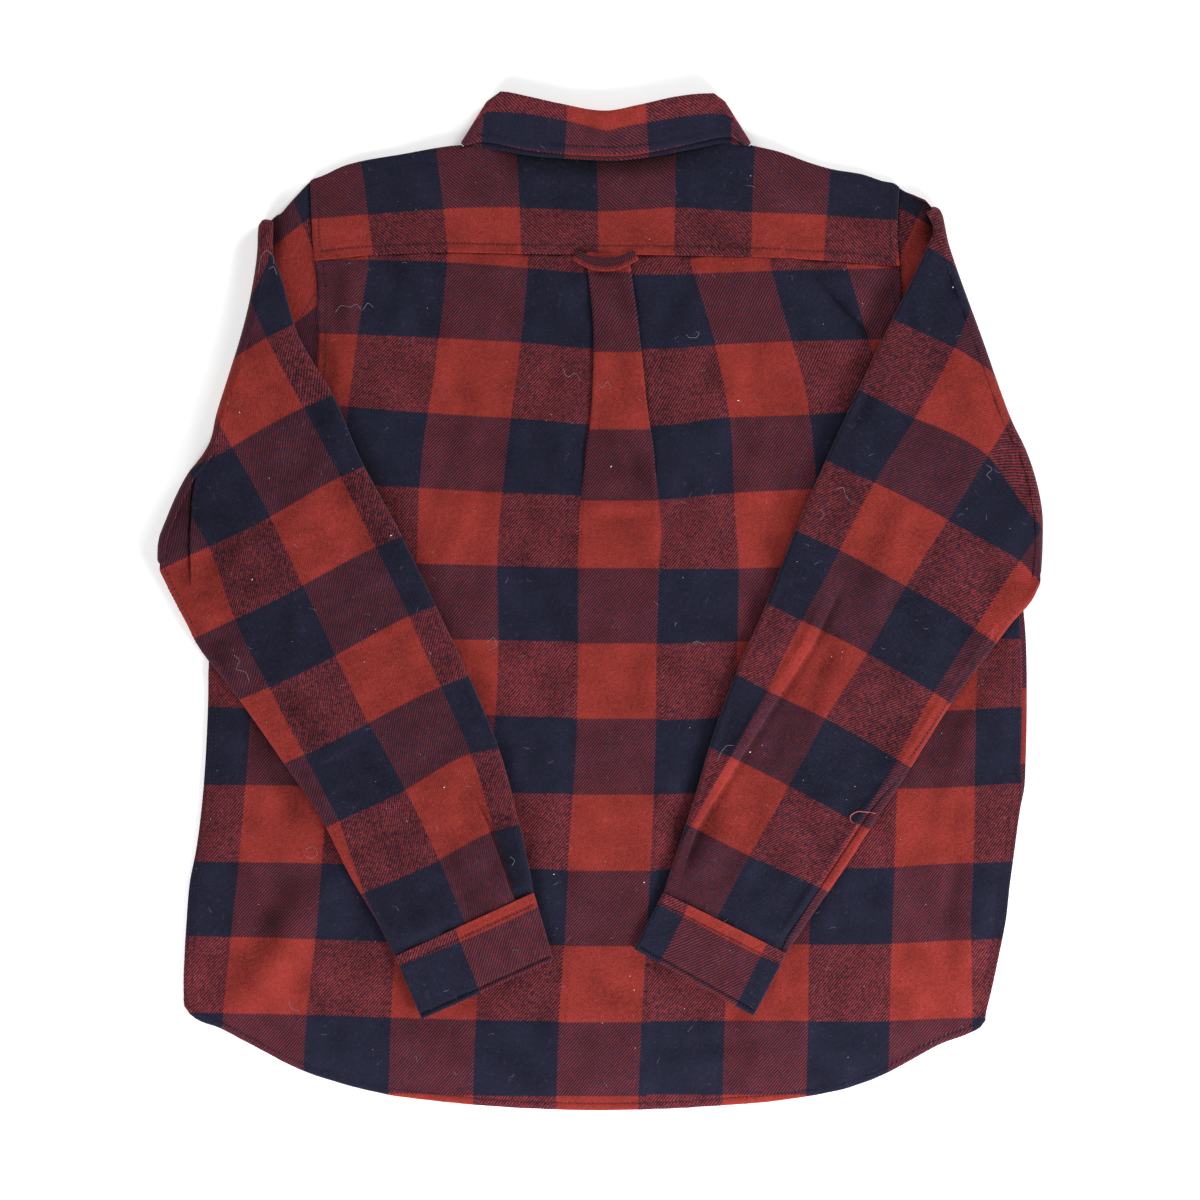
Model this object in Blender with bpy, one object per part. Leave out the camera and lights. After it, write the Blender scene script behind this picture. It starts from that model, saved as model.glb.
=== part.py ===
"""Flannel shirt: buttoned, lying face down, both sleeves folded over onto its back.

The frame has +Z up from the surface it lies on, +Y towards the collar and +X towards
the wearer's right sleeve. Sizes are in millimetres until mesh_object turns them into
metres. Each piece is a wall of cloth through rings or sections.
"""
import math

import bpy
import numpy as np

MM = 0.001

# Cloth
CLOTH = 1.2            # one layer of brushed flannel
DOUBLE = 2.0           # fused double layers: yoke and cuffs
FALL = 1.8             # collar fall
STAND = 1.6            # collar stand
TAPE = 1.4             # locker loop
GAP = 0.3              # between pieces at a seam
CURVED_GAP = 1.1       # between facets along a curved seam

# Body
NECK_X = 4.8           # middle of the neck
HALF_LAP = 19.0        # the fronts pass the centre by this much
YOKE_WRAP = 35.0       # the yoke runs this far down the front
YOKE_LIFT = 3.3        # middle of the yoke over the flat part of the back
YOKE_OVER_PLEAT = 1.9
BACK_TOP = 281.0       # yoke seam at the centre of the back
PLEAT_SPREAD = 12.0    # cloth beside the pleat that belongs to its section
PLEAT_CENTRE = 6.0
SIDE_COLUMNS = 7
NECK_RISE_FRONT = 2.5  # the collar leaves lie under the fronts near the neck
NECK_RISE_BACK = 3.6
NECK_Y = 330.0
NECK_FLAT_R = 130.0
NECK_FADE_R = 185.0
CHANNEL = 2.6          # the lap stands this high over the buttons
CHANNEL_HALF = 22.0
CHANNEL_FADE = 42.0
RIDGE = 4.1            # the back over the lap
RIDGE_HALF = 30.0
RIDGE_FADE = 120.0

# Buttons
BUTTON_D = 11.4
BUTTON_T = 2.3
BUTTON_SIDES = 14
BUTTON_COUNT = 6
BUTTON_PITCH = 92.0
BUTTON_TOP_Y = 248.0

# Sleeves
TUBE_HALF = 1.25       # half the distance between the two layers of a flat sleeve
SLEEVE_FLOOR = TUBE_HALF + CLOTH / 2
FOLD_R = 4.4           # radius of the fold that brings a sleeve over the back
CUFF_HALF = 1.3
CUFF_Z = 10.4
REST_GAP = 0.5         # between the back and a sleeve that lies on it

# Collar
COLLAR_Z = 5.5
STAND_R = 1.8          # turn of the stand at the side of the neck
FALL_R = 4.6           # turn of the fall round the stand
ROLL = (FALL_R - STAND_R) / 2
FALL_BACK = 2.1        # the fall comes back under its roll this far, to the stand

# Outlines, rows of (y, x)
SIDE_LEFT = [(39, -311), (-20, -315), (-53, -317), (-81, -317.5), (-113, -318.7),
             (-152, -321.2), (-200, -326.8), (-230, -332.5), (-259, -334.9),
             (-288, -336.6), (-317, -337.4), (-330, -336.4)]
SIDE_RIGHT = [(34, 331), (10, 340.5), (-9, 343.4), (-36, 345.4), (-86, 346), (-129, 345.1),
              (-152, 344), (-171, 340.2), (-200, 336.2), (-230, 332.1),
              (-259, 328.9), (-288, 323.2), (-317, 317), (-337, 312)]
ARMHOLE_LEFT = [(340, -234.5), (311, -233.3), (277, -231.7), (260, -229.6),
                (216, -229.2), (162, -233.3), (114, -244.6), (69, -269), (39, -311)]
ARMHOLE_RIGHT = [(335, 242.2), (298, 240.6), (262, 243.6), (219, 248), (162, 250),
                 (122, 256), (85, 274), (60, 302), (34, 331)]
# Outlines, rows of (x, y)
HEM = [(-338, -326), (-333, -334), (-306, -347), (-272, -365), (-240, -381),
       (-207, -391.6), (-172, -400), (-138, -404.6), (-97, -408.6), (-49, -411),
       (0, -412), (57, -410.8), (113, -407.8), (147, -404.6), (199, -395),
       (227, -385), (252, -372), (276, -359), (300, -350), (309, -344.7), (318, -330)]
SHOULDER_LEFT = [(-234.5, 340), (-228, 347), (-207, 353.6), (-155, 363.3),
                 (-121, 368.8), (-112, 369.5)]
SHOULDER_RIGHT = [(121.6, 369.5), (147, 363.5), (168, 356), (188, 350.3),
                  (213, 346), (236, 338.2), (242.2, 335)]
YOKE_SEAM = [(-232, 277), (-185, 281.5), (-126, 283.5), (-65, 282.3), (0, 281.5),
             (65, 281), (113, 280), (178, 277.4), (241, 272.6)]
COLLAR_ROLL = [(-91.5, 409.5), (-87.5, 411.5), (-81, 412), (-57, 407.8), (-32, 402.2),
               (4, 396.5), (32, 401.4), (61, 407.8), (85, 410.3), (96, 410), (101, 407.8)]
COLLAR_EDGE = [(-112, 370.6), (-102, 371.8), (-92, 371.4), (-55, 365), (-18, 361.3),
               (11, 360), (38, 362.8), (74.5, 370.6), (104.5, 375.8), (115, 373.8),
               (121.6, 370.6)]

# Box pleat, rows of (y, left edge, right edge, cloth taken up on each side)
PLEAT = [(282, -11.0, 22.6, 31.4), (211, -4.9, 32.4, 18.0), (149, -8.1, 39.7, 9.3),
         (90, -13.8, 45.4, 4.5), (60, -15.5, 47.2, 3.2), (29, -17.0, 48.6, 1.2),
         (-60, -18.0, 48.0, 0.6), (-412, -33.0, 34.0, 0.3)]
PLEAT_STEP = 1.8       # height of one layer of the pleat over the next

# Locker loop, its middle line and width
LOOP = [(-20, 280), (-14.6, 274.6), (-5, 269.3), (5, 267.5), (14.6, 269.6), (23.5, 274.6),
        (29, 279.6)]
LOOP_W = 8.0

# Largest folds of the back, rows of (x0, y0, x1, y1, half width, height)
BACK_FOLDS = [(168, 268, 217, 228, 11, 2.2),
              (-205, 262, -120, 190, 16, 1.6),
              (80, 120, 150, -40, 26, 1.8),
              (-90, 60, -60, -150, 30, 1.6),
              (205, -120, 250, -300, 26, 2.0),
              (-290, -120, -262, -300, 22, 1.8)]

# Sleeve rings past the fold, rows of
# (inner x, inner y, outer x, outer y, height over the back, share of the cuff's height)
LEFT_FOLD = [(-275.4, 302.5), (-281, 254), (-291.6, 213.4), (-314.3, 131.6),
             (-332, 105.7), (-344.2, 80.6), (-357, 50), (-359.8, 24)]
LEFT_RINGS = [(-264.5, 284, -350.5, 16, 5.4, 0), (-256, 255.6, -350, 10.5, 4.8, 0),
              (-245.5, 218, -347.5, 5.5, 4.0, 0), (-231, 191, -344.5, 0, 3.2, 0),
              (-213.8, 162.4, -341, -6.5, 2.4, 0), (-192.8, 113, -335, -18, 1.8, 0),
              (-161.2, 54, -322, -42, 1.2, 0), (-134.4, -1, -292.5, -79.5, 0.6, 0),
              (-106, -61, -256, -131.6, 0.2, 0), (-81, -122, -226, -176, 0.2, 0.1),
              (-66.5, -175, -202, -223, 0.2, 0.4), (-58, -212, -181, -258, 0.2, 0.8),
              (-53.2, -236.9, -167.6, -284.2, 0.2, 1)]
RIGHT_FOLD = [(275.4, 311.4), (282.7, 286.3), (289.2, 267.7), (324, 178.6),
              (349, 116.2), (358.8, 75.7), (359, 48), (357.4, 20)]
RIGHT_RINGS = [(269.5, 300, 350.5, 13, 5.4, 0), (262, 281, 348.5, 8, 4.8, 0),
               (248, 250.7, 346, 2, 4.0, 0), (226, 207, 342.5, -4.5, 3.0, 0),
               (204.9, 162.4, 338, -12, 2.2, 0), (182.3, 113, 331, -21, 1.6, 0),
               (157.9, 57, 316, -41, 1.0, 0), (134.4, -3, 283.5, -84.6, 0.6, 0),
               (110.5, -57, 249.5, -138.5, 0.2, 0), (91, -110, 216, -188.5, 0.2, 0.1),
               (77, -157, 197, -218, 0.2, 0.4), (63, -200, 170.5, -256, 0.2, 0.8),
               (51.8, -234.7, 151.5, -284, 0.2, 1)]
LEFT_CUFF = [(-53.1, -237.2, -167.5, -284.5), (-37.5, -290.4, -144.2, -338.2)]
RIGHT_CUFF = [(51.7, -235.0, 151.4, -284.3), (27.7, -281.5, 124.2, -335.7)]

# Front half of the collar: neck seam, roll line and outer edge, from side to centre
FRONT_COLLAR = [(-97, 350, -68, 382, -121, 342), (-73, 327, -42, 357, -112, 308),
                (-42, 315, -18, 344, -82, 285), (-4, 310, 0, 339, -46, 270)]
FRONT_NECK = [(0, 309), (37, 311.5), (58, 317), (78, 326), (96, 339), (108, 352)]

NAVY = (0.030, 0.033, 0.060, 1.0)
BRICK = (0.210, 0.045, 0.040, 1.0)
MIXED = (0.090, 0.035, 0.045, 1.0)
HORN = (0.045, 0.030, 0.028, 1.0)
CLOTH_ROUGHNESS = 0.9
BUTTON_ROUGHNESS = 0.35


# Interpolation and heights

def curve(rows, at, column=1):
    """Read a column of a table at a station, along a smooth curve with no overshoot."""
    table = np.array(rows, dtype=float)
    table = table[np.argsort(table[:, 0])]
    x, y = table[:, 0], table[:, column]
    at = np.clip(np.asarray(at, dtype=float), x[0], x[-1])
    slope = np.diff(y) / np.diff(x)
    tangent = np.concatenate([slope[:1], (slope[:-1] + slope[1:]) / 2, slope[-1:]])
    turns = np.concatenate([[False], slope[:-1] * slope[1:] <= 0, [False]])
    tangent[turns] = 0
    k = np.clip(np.searchsorted(x, at, side="right") - 1, 0, len(x) - 2)
    width = x[k + 1] - x[k]
    t = (at - x[k]) / width
    a = (1 + 2 * t) * (1 - t) ** 2 * y[k] + t * (1 - t) ** 2 * width * tangent[k]
    b = t * t * (3 - 2 * t) * y[k + 1] - t * t * (1 - t) * width * tangent[k + 1]
    return a + b


def path(points, at):
    """A smooth plan curve through points, read at shares of its length."""
    points = np.array(points, dtype=float)
    steps = np.hypot(*np.diff(points, axis=0).T)
    station = np.concatenate([[0], np.cumsum(steps)]) / steps.sum()
    rows = np.column_stack([station, points])
    return np.column_stack([curve(rows, at, 1), curve(rows, at, 2)])


def fade(low, high, value):
    """1 below low, 0 above high, smooth between."""
    t = np.clip((np.asarray(value, dtype=float) - low) / (high - low), 0, 1)
    return 1 - t * t * (3 - 2 * t)


def soft_max(a, b):
    return 0.5 * (a + b + np.sqrt((a - b) ** 2 + 0.2))


def centre_line(y):
    """Middle of the front, which lies a little askew."""
    return curve([(-420, -2), (-250, 5), (-80, 13), (100, 14), (250, 8), (420, NECK_X)], y)


def near_neck(x, y):
    return fade(NECK_FLAT_R, NECK_FADE_R, np.hypot(x - NECK_X, y - NECK_Y))


def front_bottom(x, y):
    """Underside of the fronts: flat, but over the collar leaves and the buttons."""
    over_buttons = CHANNEL * fade(CHANNEL_HALF, CHANNEL_FADE, np.abs(x - centre_line(y)))
    return np.maximum(NECK_RISE_FRONT * near_neck(x, y), over_buttons)


def back_rise(x, y):
    """How far the lap and the collar lift what lies over the fronts."""
    ridge = RIDGE * fade(RIDGE_HALF, RIDGE_FADE, np.abs(x - centre_line(y)))
    ridge = ridge * fade(318, 352, y)
    return soft_max(NECK_RISE_BACK * near_neck(x, y), ridge)


def fold_height(x, y):
    total = np.zeros(np.broadcast(x, y).shape)
    for x0, y0, x1, y1, half_width, height in BACK_FOLDS:
        dx, dy = x1 - x0, y1 - y0
        along = np.clip(((x - x0) * dx + (y - y0) * dy) / (dx * dx + dy * dy), 0, 1)
        away = np.hypot(x - x0 - along * dx, y - y0 - along * dy)
        swell = 0.4 + 0.6 * np.sin(math.pi * along)
        total = total + height * swell * np.exp(-(away / half_width) ** 2)
    return total


def back_middle(x, y):
    """Middle of the back panel's wall."""
    return 1.5 * CLOTH + GAP + back_rise(x, y) + fold_height(x, y)


def body_left(y):
    return np.where(y > SIDE_LEFT[0][0], curve(ARMHOLE_LEFT, y), curve(SIDE_LEFT, y))


def body_right(y):
    return np.where(y > SIDE_RIGHT[0][0], curve(ARMHOLE_RIGHT, y), curve(SIDE_RIGHT, y))


# Meshes

def material(name, colour, roughness):
    new = bpy.data.materials.new(name)
    new.use_nodes = True
    shader = new.node_tree.nodes["Principled BSDF"]
    shader.inputs["Base Color"].default_value = colour
    shader.inputs["Roughness"].default_value = roughness
    shader.inputs["Metallic"].default_value = 0.0
    return new


def mesh_object(name, points, faces, colour, roughness=CLOTH_ROUGHNESS):
    mesh = bpy.data.meshes.new(name)
    mesh.from_pydata((np.asarray(points) * MM).tolist(), [], faces)
    mesh.materials.append(material(name + "_finish", colour, roughness))
    mesh.shade_smooth()
    piece = bpy.data.objects.new(name, mesh)
    bpy.context.collection.objects.link(piece)
    return piece


def sheet(name, grid, thickness, colour, missing=()):
    """A wall of cloth about a grid of points. missing lists the (row, column) cells left out."""
    rows, columns = grid.shape[:2]
    faces = []
    for r in range(rows - 1):
        for c in range(columns - 1):
            if (r, c) not in missing:
                a = r * columns + c
                faces.append((a, a + 1, a + columns + 1, a + columns))
    used = sorted({i for face in faces for i in face})
    place = {old: new for new, old in enumerate(used)}
    faces = [tuple(place[i] for i in face) for face in faces]
    piece = mesh_object(name, grid.reshape(-1, 3)[used], faces, colour)
    wall = piece.modifiers.new("wall", "SOLIDIFY")
    wall.thickness = thickness * MM
    wall.offset = 0.0
    return piece


def tube(name, middles, normals, half, wall, colour):
    """A flattened tube: rings of middles with the two layers half apart on each side."""
    rings = len(middles)
    loops = []
    for extra in (wall / 2, -wall / 2):
        for middle, normal in zip(middles, normals):
            ends = np.gradient(middle, axis=0)
            first = ends[0] / np.linalg.norm(ends[0])
            last = ends[-1] / np.linalg.norm(ends[-1])
            lift = normal * (half + extra)
            bend = normal * (half + extra) * 0.62
            tip = half + extra
            inset = half + wall / 2
            start = middle[0] + first * (inset - tip)
            stop = middle[-1] - last * (inset - tip)
            near_start = middle[0] + first * (inset - tip * 0.6)
            near_stop = middle[-1] - last * (inset - tip * 0.6)
            inner = middle[1:-1]
            loop = [start, near_start + bend[0]]
            loop += [p + n for p, n in zip(inner, lift[1:-1])]
            loop += [near_stop + bend[-1], stop, near_stop - bend[-1]]
            loop += [p - n for p, n in zip(inner[::-1], lift[1:-1][::-1])]
            loop.append(near_start - bend[0])
            loops.append(loop)
    count = len(loops[0])
    points = np.array(loops).reshape(-1, 3)
    faces = []
    for side in range(2):
        for r in range(rings - 1):
            for c in range(count):
                a = (side * rings + r) * count + c
                b = (side * rings + r) * count + (c + 1) % count
                face = (a, a + count, b + count, b)
                faces.append(face if side == 0 else face[::-1])
    for r in (0, rings - 1):
        for c in range(count):
            a = r * count + c
            b = r * count + (c + 1) % count
            deep = rings * count
            face = (a, b, b + deep, a + deep)
            faces.append(face if r == 0 else face[::-1])
    if volume(points, faces) < 0:
        faces = [face[::-1] for face in faces]
    return mesh_object(name, points, faces, colour)


def volume(points, faces):
    total = 0.0
    for face in faces:
        for k in range(1, len(face) - 1):
            total += np.dot(points[face[0]], np.cross(points[face[k]], points[face[k + 1]]))
    return total


# Body panels

def pleat_section(y):
    """Middle line of the back's cloth across the box pleat at height y, as (x, step) points.

    Each side runs under the box, turns back to its edge and turns again on top of it. Where
    little cloth is taken up, the folds open into a low wave.
    """
    left = float(curve(PLEAT, y, 1))
    right = float(curve(PLEAT, y, 2))
    depth = float(curve(PLEAT, y, 3)) / 2
    reach = max(depth, PLEAT_STEP)
    folded = [(left - PLEAT_SPREAD, 0.0), (left, 0.0), (left + reach * 0.6, 0.0),
              (left + reach, 0.5), (left + reach * 0.6, 1.0), (left + 0.4, 1.0),
              (left - 0.3, 1.5), (left + 0.6, 2.0)]
    open_x = np.linspace(left - PLEAT_SPREAD, left + PLEAT_SPREAD / 2, len(folded))
    share = min(depth / PLEAT_STEP, 1.0)
    left_side = [(x * share + flat * (1 - share), step * share * PLEAT_STEP)
                 for (x, step), flat in zip(folded, open_x)]
    mirror = [(left + right - x, step) for x, step in left_side[::-1]]
    return left_side + [((left + right) / 2, left_side[-1][1])] + mirror


def make_back():
    levels = np.concatenate([[0, 0.02, 0.06, 0.1, 0.14, 0.18, 0.21], np.linspace(0.235, 0.36, 6),
                             np.linspace(0.43, 1, 8)])
    grid = []
    for level in levels:
        row = []
        y_mid = BACK_TOP - level * (BACK_TOP - float(curve(HEM, 0)))
        section = pleat_section(y_mid)
        left, right = float(body_left(y_mid)), float(body_right(y_mid))
        flat = [(x, 0.0) for x in np.linspace(left, section[0][0], SIDE_COLUMNS)[:-1]]
        flat += section
        flat += [(x, 0.0) for x in np.linspace(section[-1][0], right, SIDE_COLUMNS)[1:]]
        for x, step in flat:
            upper = float(curve(YOKE_SEAM, x)) - GAP
            lower = float(curve(HEM, x))
            y = upper - level * (upper - lower)
            row.append((x, y, 0.0, step))
        grid.append(row)
    grid = np.array(grid)
    for r in range(len(grid)):
        near = grid[r, 0, 1]
        far = grid[r, -1, 1]
        shift_left = float(body_left(near)) - grid[r, 0, 0]
        shift_right = float(body_right(far)) - grid[r, -1, 0]
        for c in range(SIDE_COLUMNS):
            share = 1 - c / SIDE_COLUMNS
            grid[r, c, 0] += shift_left * share
            grid[r, -1 - c, 0] += shift_right * share
    x, y, step = grid[..., 0], grid[..., 1], grid[..., 3]
    x[:, -1] -= 3.0 * fade(45, 60, y[:, -1])
    z = back_middle(x, y) + step
    return sheet("back", np.dstack([x, y, z]), CLOTH, NAVY)


def shoulder(x):
    if x <= SHOULDER_LEFT[-1][0]:
        return float(curve(SHOULDER_LEFT, x))
    if x >= SHOULDER_RIGHT[0][0]:
        return float(curve(SHOULDER_RIGHT, x))
    return float(curve(COLLAR_EDGE, x)) - 5.0


def make_yoke():
    neck_left, neck_right = SHOULDER_LEFT[-1][0], SHOULDER_RIGHT[0][0]
    tip_left, tip_right = SHOULDER_LEFT[0][0] + GAP, SHOULDER_RIGHT[-1][0] - GAP
    tops = list(np.linspace(tip_left, neck_left, 8))
    tops += list(np.linspace(neck_left + 4, neck_right - 4, 11))
    tops += list(np.linspace(neck_right, tip_right, 8))
    first, last = YOKE_SEAM[0][0] + GAP, YOKE_SEAM[-1][0] - GAP
    rises = np.linspace(0, 1, 6)
    turns = np.radians([45, 90, 135, 180])
    drops = np.array([0.5, 1.0])
    grid = []
    for top_x in tops:
        share = (top_x - tip_left) / (tip_right - tip_left)
        low_x = first + share * (last - first)
        low_y = float(curve(YOKE_SEAM, low_x))
        edge_y = shoulder(top_x)
        lower = DOUBLE / 2 + NECK_RISE_FRONT * float(near_neck(top_x, edge_y))
        upper = float(yoke_middle(top_x, edge_y, 1.0))
        radius = (upper - lower) / 2
        high_y = edge_y - radius
        column = []
        for rise in rises:
            y = low_y + rise * (high_y - low_y)
            left, right = float(body_left(y)) + GAP, float(body_right(y)) - GAP
            x = left + share * (right - left)
            column.append((x, y, float(yoke_middle(x, y, rise))))
        for turn in turns:
            height = (upper + lower) / 2 + radius * math.cos(turn)
            column.append((top_x, high_y + radius * math.sin(turn), height))
        for drop in drops:
            y = high_y - drop * (YOKE_WRAP - radius)
            column.append((top_x, y, DOUBLE / 2 + float(front_bottom(top_x, y))))
        grid.append(column)
    grid = np.array(grid).transpose(1, 0, 2)
    wrap_rows = range(len(rises) - 1, len(grid) - 1)
    neck_columns = range(7, 19)
    missing = {(r, len(tops) - 2 - c) for r in wrap_rows for c in neck_columns}
    return sheet("yoke", grid[:, ::-1], DOUBLE, BRICK, missing)


def yoke_middle(x, y, rise):
    """Middle of the yoke, rise being its share of the way from the seam to the shoulder."""
    over_pleat = YOKE_OVER_PLEAT * fade(22, 50, abs(x - PLEAT_CENTRE)) * fade(0.1, 0.6, rise)
    return YOKE_LIFT + 0.6 * rise + back_rise(x, y) + over_pleat


def front_edge(side, y):
    """Outer edge of a front: armhole, then side seam."""
    return float(body_left(y)) if side < 0 else float(body_right(y))


def front_top(side, x):
    """Upper edge of a front: yoke seam on the shoulder, then the neck."""
    reach = (x - NECK_X) * side
    on_shoulder = shoulder(x) - YOKE_WRAP - CURVED_GAP
    if reach > 112:
        return on_shoulder
    return min(float(curve(FRONT_NECK, max(reach, 0))) - CURVED_GAP, on_shoulder)


def make_front(side, name, colour):
    offsets = [44, 36, 29, 22, HALF_LAP, 10, 0, -10, -HALF_LAP]
    levels = np.concatenate([[0, 0.08, 0.15, 0.2], np.linspace(0.235, 0.37, 6),
                             np.linspace(0.45, 1, 7)])
    grid = []
    for level in levels:
        row = []
        for share, offset in [(c / 7, 0) for c in range(7)] + [(1, offset) for offset in offsets]:
            y = 300.0
            for _ in range(8):
                outer = front_edge(side, y)
                inner = float(centre_line(y)) + side * (offset if share == 1 else offsets[0])
                x = outer + share * (inner - outer)
                upper = front_top(side, x)
                lower = float(curve(HEM, x)) + 2.0
                y = upper - level * (upper - lower)
            row.append((x, y))
        grid.append(row)
    grid = np.array(grid)
    x, y = grid[..., 0], grid[..., 1]
    z = front_bottom(x, y) + CLOTH / 2
    if side > 0:
        over = fade(22, 36, x - centre_line(y))
        z = z + (CLOTH + GAP) * over
    points = np.dstack([x, y, z])
    if side < 0:
        points = points[:, ::-1]
    return sheet(name, points, CLOTH, colour)


# Collar

def collar_stations():
    """Rows of (neck, roll, edge, outward, turn): plan points round the neck, front to front."""
    outward = np.array([-0.886, 0.462])
    fold = [np.array(p, dtype=float) for p in ((-107, 370.3), (-91.2, 409.6), (-111.9, 370.6))]
    fold = [p - outward * FALL_R for p in fold]
    left = []
    for nx, ny, rx, ry, ex, ey in FRONT_COLLAR[::-1]:
        left.append((np.array([nx, ny]), np.array([rx, ry]), np.array([ex, ey]), outward, 0.0))
    for turn in (0, 30, 60, 90, 120, 150, 180):
        left.append((*fold, outward, math.radians(turn)))
    stations = list(left)
    for share in np.linspace(-0.86, 0.86, 13):
        neck_x = NECK_X + share * 112
        roll_x = NECK_X + share * 96.5
        edge_x = NECK_X + share * 116.7
        neck = np.array([neck_x, float(curve(COLLAR_EDGE, neck_x)) - 4.7])
        roll = np.array([roll_x, float(curve(COLLAR_ROLL, roll_x))])
        edge = np.array([edge_x, float(curve(COLLAR_EDGE, edge_x))])
        stations.append((neck, roll, edge, outward, math.pi))
    for neck, roll, edge, away, turn in left[::-1]:
        flip = [np.array([2 * NECK_X - p[0], p[1]]) for p in (neck, roll, edge)]
        stations.append((*flip, np.array([-away[0], away[1]]), turn))
    return stations


def collar_point(plan, outward, turn, radius):
    x, y = plan + outward * radius * math.sin(turn)
    return (x, y, COLLAR_Z - radius * math.cos(turn))


def make_collar():
    fall, stand = [], []
    stations = collar_stations()
    for index, (neck, roll, edge, outward, turn) in enumerate(stations):
        down = (edge - roll) / np.linalg.norm(edge - roll)
        width = np.linalg.norm(edge - roll)
        half = FALL / 2
        section = [(half + FALL_BACK, STAND_R), (half + ROLL * 0.3, STAND_R + ROLL * 0.3),
                   (half, STAND_R + ROLL), (half + ROLL * 0.3, FALL_R - ROLL * 0.3),
                   (half + ROLL, FALL_R)]
        section += [(q * width, FALL_R) for q in (0.35, 0.68, 1.0)]
        fall.append([collar_point(roll + down * q, outward, turn, radius) for q, radius in section])
        down = (neck - roll) / np.linalg.norm(neck - roll)
        top = roll + down * (half + FALL_BACK + CURVED_GAP)
        row = []
        for share in (0.0, 0.5, 1.0):
            x, y, z = collar_point(top + (neck - top) * share, outward, turn, STAND_R)
            if index >= len(stations) - 1:
                z += STAND + GAP
            row.append((x, y, z))
        stand.append(row)
    tabs = np.array(stand)
    start = tabs[0] + np.array([12.0, 0, 0])
    lifted = tabs[-1] + np.array([-12.0, 0, 0])
    stand = np.concatenate([[start], tabs, [lifted]])
    sheet("collar_fall", np.array(fall), FALL, BRICK)
    sheet("collar_stand", stand, STAND, MIXED)


# Sleeves

def place_on_back(plan, over, share):
    x, y = plan[:, 0], plan[:, 1]
    resting = back_middle(x, y) + CLOTH / 2 + REST_GAP + SLEEVE_FLOOR + over
    return (1 - share) * resting + share * CUFF_Z


def sleeve_rings(side, armhole, fold, rows):
    """Middle line and normals of each ring, from the armhole round the fold to the cuff."""
    across = np.array([0, 0.05, 0.13, 0.22, 0.32, 0.42, 0.52, 0.61, 0.69, 0.77, 0.84, 0.9, 0.96, 1.0])
    seam = path([(x, y) for y, x in armhole], across)
    along = np.gradient(seam, axis=0)
    away = np.column_stack([along[:, 1], -along[:, 0]]) / np.linalg.norm(along, axis=1)[:, None]
    seam = seam - side * away * CURVED_GAP
    crease = path(fold, across)
    chord = crease[-1] - crease[0]
    outward = np.array([-chord[1], chord[0]]) / np.linalg.norm(chord)
    if outward[0] * side < 0:
        outward = -outward
    centre = crease - outward * (FOLD_R + SLEEVE_FLOOR)
    up = np.tile([0.0, 0.0, 1.0], (len(across), 1))
    flat_out = np.tile([outward[0], outward[1], 0.0], (len(across), 1))
    middles, normals = [], []
    middles.append(np.column_stack([seam, np.full(len(seam), SLEEVE_FLOOR)]))
    normals.append(up)
    for turn in np.radians([0, 30, 60, 90, 120, 150, 180]):
        plan = centre + outward * FOLD_R * math.sin(turn)
        height = SLEEVE_FLOOR + FOLD_R * (1 - math.cos(turn))
        middles.append(np.column_stack([plan, np.full(len(plan), height)]))
        normals.append(up * math.cos(turn) - flat_out * math.sin(turn))
    straight = across[:, None]
    bow = centre - (centre[0] + straight * (centre[-1] - centre[0]))
    fold_top = SLEEVE_FLOOR + 2 * FOLD_R
    for number, (ax, ay, bx, by, over, cuff_share) in enumerate(rows):
        line = np.array([ax, ay]) + straight * np.array([bx - ax, by - ay])
        curl = float(fade(0, 3, number + 1))
        plan = line + bow * curl
        height = place_on_back(plan, over, cuff_share)
        height = height + (fold_top - height) * 0.75 * curl
        middles.append(np.column_stack([plan, height]))
        normals.append(-up)
    return middles, normals


def make_sleeves():
    for side, name, armhole, fold, rows in (
            (-1, "sleeve_left", ARMHOLE_LEFT, LEFT_FOLD, LEFT_RINGS),
            (1, "sleeve_right", ARMHOLE_RIGHT, RIGHT_FOLD, RIGHT_RINGS)):
        middles, normals = sleeve_rings(side, armhole, fold, rows)
        tube(name, middles, normals, TUBE_HALF, CLOTH, NAVY)


def make_cuffs():
    across = np.array([0, 0.06, 0.3, 0.5, 0.7, 0.94, 1.0])[:, None]
    for name, rows in (("cuff_left", LEFT_CUFF), ("cuff_right", RIGHT_CUFF)):
        middles = []
        for share in (0, 0.33, 0.67, 1):
            ax, ay, bx, by = np.array(rows[0]) * (1 - share) + np.array(rows[1]) * share
            plan = np.array([ax, ay]) + across * np.array([bx - ax, by - ay])
            middles.append(np.column_stack([plan, np.full(len(plan), CUFF_Z)]))
        normals = [np.tile([0.0, 0.0, -1.0], (len(across), 1))] * len(middles)
        tube(name, middles, normals, CUFF_HALF, DOUBLE, MIXED)


# Small pieces

def make_loop():
    """Strip caught at both ends in the yoke seam, bowing down over the pleat."""
    line = path(LOOP, np.linspace(0, 1, 13))
    along = np.gradient(line, axis=0)
    along = along / np.linalg.norm(along, axis=1)[:, None]
    across = np.column_stack([-along[:, 1], along[:, 0]])
    grid = []
    for offset in (-LOOP_W / 2, 0.0, LOOP_W / 2):
        plan = line + across * offset
        x, y = plan[:, 0], plan[:, 1]
        y = np.minimum(y, curve(YOKE_SEAM, x) - GAP - 0.2)
        over_pleat = 2 * PLEAT_STEP * fade(22, 30, np.abs(x - PLEAT_CENTRE))
        z = back_middle(x, y) + over_pleat + CLOTH / 2 + 2 * GAP + TAPE / 2
        grid.append(np.column_stack([x, y, z]))
    sheet("locker_loop", np.array(grid), TAPE, MIXED)


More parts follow.
